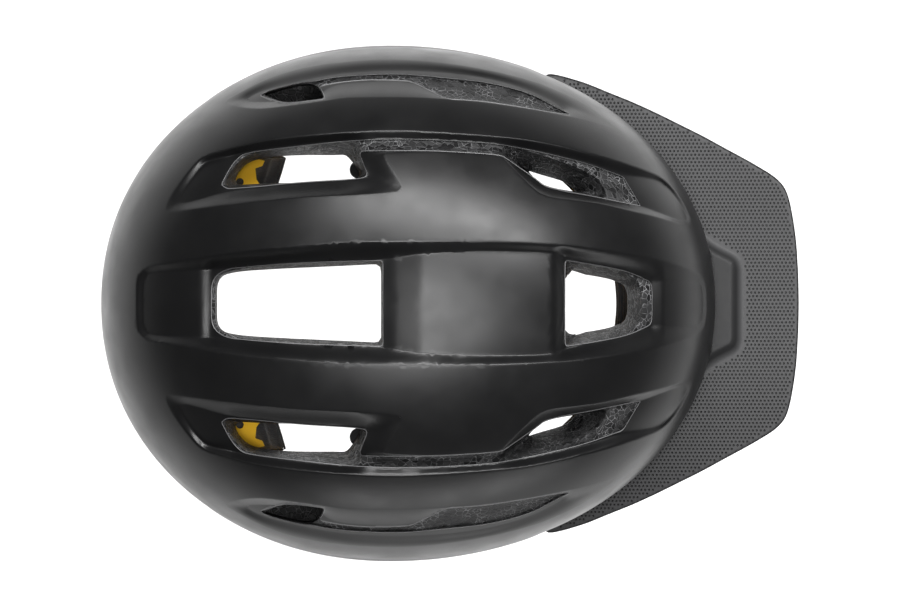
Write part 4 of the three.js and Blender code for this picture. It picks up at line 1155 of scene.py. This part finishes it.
def refined(node, width=0.35):
    """A copy of a CAD solid with its edges rounded and its facets smoothed."""
    piece = frame["nodes"][node].copy()
    piece.data = piece.data.copy()
    piece.name = node + "_part"
    piece.hide_render = piece.hide_viewport = False
    bpy.context.scene.collection.objects.link(piece)
    with edited(piece) as bm:
        bmesh.ops.remove_doubles(bm, verts=bm.verts, dist=0.00001)
        bmesh.ops.dissolve_limit(bm, angle_limit=math.radians(1), verts=bm.verts, edges=bm.edges)
    bevel = piece.modifiers.new("rounding", "BEVEL")
    bevel.width = width * MM
    bevel.segments = 2
    bevel.limit_method = "ANGLE"
    bevel.angle_limit = math.radians(42)
    bevel.harden_normals = False
    baked(piece)
    for key in list(piece.keys()):
        del piece[key]
    return finished(piece, [node], sharp=50)


HARD = [
    "dial_housing", "dial_cover", "cradle_yoke", "height_slider", "ratchet_spring", "dial_knob",
    "dial_pinion", "dial_screw", "height_rail", "buckle_socket", "buckle_insert", "strap_keeper",
]
for side in SIDES:
    HARD += [f"temple_post_{side}", f"divider_{side}", f"divider_lever_{side}", f"strap_anchor_front_{side}"]
    HARD += [f"strap_anchor_rear_{side}", f"slip_anchor_front_{side}", f"slip_anchor_rear_{side}"]
for place in ("centre", "left", "right"):
    HARD += [f"visor_post_{place}", f"visor_socket_{place}"]
for node in HARD:
    refined(node)

# The adjuster bands run between the cradle, which holds them at the temples, and their racks; they are taken
# off their body and stay where they are.
for side, y in SIDES.items():
    strip = refined(f"band_{side}", 0.25)
    strip.parent = None
    del strip["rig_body"]
    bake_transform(strip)

# ------------------------------------------------------------------ padded pieces
PIPING = 0.55
SEAM_PULL = 0.45  # how much of its height a seam takes from the pad
SEAM_WIDE = 1.3


def normals_of(surface, u, v, e=1e-3):
    du = surface(u + e, v) - surface(u - e, v)
    dv = surface(u, v + e) - surface(u, v - e)
    return unit(np.cross(du, dv))


def between(a, b, t):
    """From a at t = -1 to b at t = 1."""
    return (a + b) / 2 + (b - a) / 2 * t


def crown_surface(x0, x1, y0, y1, inset, slant=0.0):
    def surface(u, v):
        y = between(y0, y1, v)
        x = between(x0, x1, u) + slant * np.clip(np.abs(y) - 56, -6, 6)
        reach = np.where(x > CAVITY["xc"], CAVITY["front"], CAVITY["rear"]) - inset
        share = np.hypot((x - CAVITY["xc"]) / reach, y / (CAVITY["half"] - inset))
        return np.column_stack([x, y, dome_z(CAVITY, share, inset)])

    return surface


def wall_surface(a0, a1, t0, t1, inset):
    def surface(u, v):
        theta, t = between(a0, a1, u), between(t0, t1, v)
        return dome_points(CAVITY, t * np.cos(theta), t * np.sin(theta), inset, level(-10))

    return surface


def flat_surface(x, y0, y1, z0, z1):
    def surface(u, v):
        return np.column_stack([x + 0 * u, between(y0, y1, u), between(z0, z1, v)])

    return surface


def pillow(node, surface, half, seams, cells, cap=0.9):
    """A sewn pad: two faces over a curved surface, swollen by cloth simulation, then piped and stitched."""
    nu, nv = cells
    a, b = np.meshgrid(np.linspace(-1, 1, nu + 1), np.linspace(-1, 1, nv + 1), indexing="ij")
    size = 1 - 0.025 * np.cos(a * math.pi / 2) * np.abs(b) - 0.02 * np.cos(b * math.pi / 2) * np.abs(a)
    corner = 1 - 0.06 * (np.abs(a) * np.abs(b)) ** 4
    u, v = (a * size * corner * 0.97).ravel(), (b * size * corner * 0.95).ravel()
    mid = surface(u, v)
    out = normals_of(surface, u, v)
    full = (np.clip(1 - np.abs(a) ** 8, 0, 1) * np.clip(1 - np.abs(b) ** 6, 0, 1)).ravel() ** 0.45
    rise = out * ((half * 0.8) * full)[:, None]
    border = full < 1e-6
    index = np.arange(len(mid)).reshape(nu + 1, nv + 1)
    number = np.full(len(mid), -1)
    number[~border] = np.arange((~border).sum()) + len(mid)
    number[border] = np.flatnonzero(border)
    points = np.vstack([mid + rise, (mid - rise)[~border]])
    quads = cells_of(index)
    faces = quads.tolist() + number[quads][:, ::-1].tolist()
    pad = fixed_normals(mesh_object(node + "_soft", points, faces))
    rest = np.array([x.co for x in pad.data.vertices])
    cloth = pad.modifiers.new("cloth", "CLOTH")
    cloth.settings.use_pressure = True
    cloth.settings.uniform_pressure_force = 4
    cloth.settings.effector_weights.gravity = 0
    cloth.settings.quality = 6
    scene = bpy.context.scene
    for f in range(1, 21):
        scene.frame_set(f)
    graph = bpy.context.evaluated_depsgraph_get()
    moved = np.array([x.co for x in pad.evaluated_get(graph).data.vertices])
    pad.modifiers.clear()
    scene.frame_set(1)
    shift = moved - rest
    far = np.linalg.norm(shift, axis=1)
    shift *= np.minimum(1, cap * MM / np.maximum(far, 1e-9))[:, None]
    rest = rest + shift
    pad.data.vertices.foreach_set("co", rest.ravel())
    smoothing = pad.modifiers.new("finer", "SUBSURF")
    smoothing.levels = smoothing.render_levels = 1
    baked(pad)
    points = np.array([x.co for x in pad.data.vertices]) / MM
    for line in seams:
        path = surface(line[:, 0], line[:, 1])
        away = np.full(len(points), 1e9)
        for p, q in zip(path[:-1], path[1:]):
            t = np.clip(((points - p) @ (q - p)) / ((q - p) @ (q - p)), 0, 1)
            away = np.minimum(away, np.linalg.norm(points - (p + t[:, None] * (q - p)), axis=1))
        nearest = np.argmin(np.linalg.norm(points[:, None] - path[None], axis=2), axis=1)
        n = normals_of(surface, line[:, 0], line[:, 1])[nearest]
        height = np.einsum("ij,ij->i", points - path[nearest], n)
        side = np.sqrt(np.clip(away**2 - height**2, 0, None))
        pulled = np.clip(height, -half, half) * SEAM_PULL * np.exp(-((side / SEAM_WIDE) ** 2))
        points -= n * pulled[:, None]
    pad.data.vertices.foreach_set("co", (points * MM).ravel())
    piping = mesh_object(node + "_piping", *tube(mid[border_of(index)], PIPING))
    with bpy.context.temp_override(active_object=pad, selected_editable_objects=[pad, piping]):
        bpy.ops.object.join()
    finished(pad, [node], sharp=80)


def seam_line(u0, u1, v0, v1, count=40):
    return np.column_stack([np.linspace(u0, u1, count), np.linspace(v0, v1, count)])


PAD_MID = SLIP_OUT + SLIP_SKIN + 0.4 + 3.4  # from the cavity's wall to the middle of a pad
PAD_HALF = 2.3
lengthways = [seam_line(-0.92, 0.92, 0, 0)]
brow_seams = [seam_line(-0.95, 0.95, v, v) for v in (0.3, -0.35)]
pillow("brow_pad", wall_surface(-0.8, 0.8, 0.845, 0.965, PAD_MID), PAD_HALF, brow_seams, (80, 12))
crown_seams = [seam_line(u, u, -0.9, 0.9) for u in (-0.5, 0.4)]
pillow("crown_pad_centre", crown_surface(3, 61, -12, 12, PAD_MID), PAD_HALF, crown_seams, (40, 18))
for name, s in SIDES.items():
    y0, y1 = sorted((s * 27, s * 41))
    pillow(f"crown_pad_{name}", crown_surface(-45, 43, y0, y1, PAD_MID), PAD_HALF, lengthways, (56, 12))
    y0, y1 = sorted((s * 29, s * 63.8))
    surface = crown_surface(-62, -50.4, y0, y1, PAD_MID, 0.3)
    pillow(f"rear_pad_{name}", surface, 2.2, [seam_line(0, 0, -0.9, 0.9)], (10, 26))
    surface = wall_surface(s * 1.22, s * 2.08, 0.81, 0.93, PAD_MID)
    pillow(f"temple_pad_{name}", surface, PAD_HALF, lengthways, (50, 12))
    y0, y1 = sorted((s * 3.3, s * 23.7))
    surface = flat_surface(-93.2, y0, y1, -72.6, -51.4)
    pillow(f"cradle_pad_{name}", surface, 1.9, [seam_line(-0.85, 0.85, 0, 0)], (18, 18), cap=0.5)

# ------------------------------------------------------------------ webbing
WEB_WIDE = 15.0
WEB_THICK = 1.6
WEB_OUT = 0.8  # the straps are seen from this far below the foam
ANCHORS = {"front": (48, 82), "rear": (-52, 83)}
DIVIDER = (6, 80, -86)


def anchor_z(x, y):
    theta = math.atan2(y / SHELL["half"], (x - SHELL["xc"]) / 132)
    return float(rim_z(np.array([theta]))[0]) + FOAM_LOW


def bent(corners, reach, steps=8):
    """A path through its corners, rounded at each one."""
    out = [np.array(corners[0], float)]
    for before, here, after in zip(corners[:-2], corners[1:-1], corners[2:]):
        here = np.array(here, float)
        towards = [np.array(q, float) - here for q in (before, after)]
        ends = [here + t / np.linalg.norm(t) * min(reach, np.linalg.norm(t) * 0.45) for t in towards]
        for k in range(steps + 1):
            t = k / steps
            out.append((1 - t) ** 2 * ends[0] + 2 * t * (1 - t) * here + t * t * ends[1])
    out.append(np.array(corners[-1], float))
    return np.array(out)


def resampled(path, step):
    whole = lengths(path)[-1]
    return along(path, np.linspace(0, whole, max(2, int(whole / step))))


def square_to(ahead):
    """The direction nearest to X that is square to each direction given."""
    return unit(np.array([1.0, 0, 0]) - ahead * ahead[..., :1])


def strap(path, wide, thick, ripple=0.0):
    """Points and faces of a flat strap with round edges, whose width runs along X as far as it can."""
    path = resampled(path, 1.5)
    ahead = unit(np.gradient(path, axis=0))
    wide_way = square_to(ahead)
    out = np.cross(ahead, wide_way)
    h, t = wide / 2, thick / 2
    top = [(x, t) for x in np.linspace(-h + 0.9, h - 0.9, 7)]
    half = [(-h, 0), (-h + 0.25, t * 0.8), *top, (h - 0.25, t * 0.8)]
    section = half + [(-x, -z) for x, z in half]
    n, m = len(path), len(section)
    wave = ripple * np.sin(np.linspace(0, 5.2, n)) * np.sin(np.linspace(0, math.pi, n))
    points = []
    for i in range(n):
        for x, z in section:
            sag = wave[i] * (1 - (x / h) ** 2) * 0.5
            points.append(path[i] + wide_way[i] * x + out[i] * (z + wave[i] + sag))
    return np.array(points), end_caps(n, m) + ring_faces(n, m)


def stitches(at, ahead, across, out, wide):
    """A bar of raised stitches across a strap."""
    rows, gap, long = 4, 1.1, 1.9
    parts = []
    for r in range(rows):
        row = at + ahead * (r - (rows - 1) / 2) * gap
        count = int(wide / (long + 0.5))
        for k in range(count):
            middle = row + across * (k - (count - 1) / 2) * (long + 0.5)
            half = across * long / 2
            path = np.array([middle - half - out * 0.15, middle + out * 0.12, middle + half - out * 0.15])
            parts.append(tube(path, 0.24, 5, closed=False))
    return parts


def chin_path(s):
    end = 24 if s > 0 else -24
    corners = [(6, s * 80, -80), (11, s * 79, -108), (22, s * 72, -134), (32, s * 57, -150), (32, end, -150)]
    return bent(corners, 9)


for name, s in SIDES.items():
    parts = []
    for where, (x, y) in ANCHORS.items():
        top = np.array([x, s * y, anchor_z(x, y) - WEB_OUT])
        base = np.array([DIVIDER[0], s * DIVIDER[1], DIVIDER[2] + 4])
        middle = (top + base) / 2 + np.array([0, s * 0.6, 0])
        run = np.array([top, middle, base])
        parts.append(strap(run, WEB_WIDE * 0.8, WEB_THICK, 0.25))
        ahead = unit(base - top)
        across = square_to(ahead)
        out = np.cross(ahead, across)
        out *= np.sign(out[1] * s)
        parts += stitches(top + ahead * 14 + out * WEB_THICK / 2, ahead, across, out, 10)
    parts.append(strap(chin_path(s), WEB_WIDE, WEB_THICK * 1.5))
    web = fixed_normals(mesh_object(f"webbing_{name}_woven", *merged(parts)))
    finished(web, [f"webbing_{name}"], sharp=60)

# The chin pad is a padded sleeve round the left strap.
chin = resampled(chin_path(1), 1.0)


def chin_surface(offset):
    """The strap's chin run as a surface: u along it, v across it."""
    whole = lengths(chin)[-1]

    def surface(u, v):
        at = between(0.42 * whole, 0.63 * whole, u)
        ahead = along(chin, at, unit(np.gradient(chin, axis=0)))
        across = square_to(ahead)
        return along(chin, at) + across * (11.2 * v)[:, None] + np.cross(ahead, across) * offset

    return surface


for offset in (2.7, -2.7):
    pillow("chin_pad", chin_surface(offset), 1.2, [seam_line(-0.9, 0.9, 0, 0)], (26, 14), cap=0.4)

# ------------------------------------------------------------------ surroundings
FLOOR_Z = -450
corners = [(x, y, FLOOR_Z) for x, y in ((-9000, -9000), (9000, -9000), (9000, 9000), (-9000, 9000))]
floor = mesh_object("floor", corners, [(0, 1, 2, 3)])
paper = Nodes("paper", (0.75, 0.75, 0.75), 0.9, Emission_Color=(1, 1, 1, 1))
# The floor glows most near the middle and less further out: a painted pool of light under the helmet.
far = paper.add("ShaderNodeVectorMath", {0: paper.place}, operation="LENGTH").outputs["Value"]
glow = paper.spread(far, 0.3, 0.05, 0.35, 0.9)
paper.tree.links.new(glow, paper.shader.inputs["Emission Strength"])
floor.data.materials.append(paper.material)
floor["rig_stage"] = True
world = bpy.data.worlds.new("surround")
world.use_nodes = True
sky = world.node_tree.nodes["Background"].inputs
sky["Color"].default_value = (0.9, 0.9, 0.92, 1)
sky["Strength"].default_value = 0.06
bpy.context.scene.world = world
bpy.context.scene.view_settings.view_transform = "Standard"
add_light("key", (0.45, 1.15, 1.9), (2.0, 0.45), 95)
add_light("side", (0.35, -2.0, 0.0), (1.8, 0.3), 13)
add_light("overhead", (0.17, -0.2, 2.5), (1.1, 1.1), 68)

low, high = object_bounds()
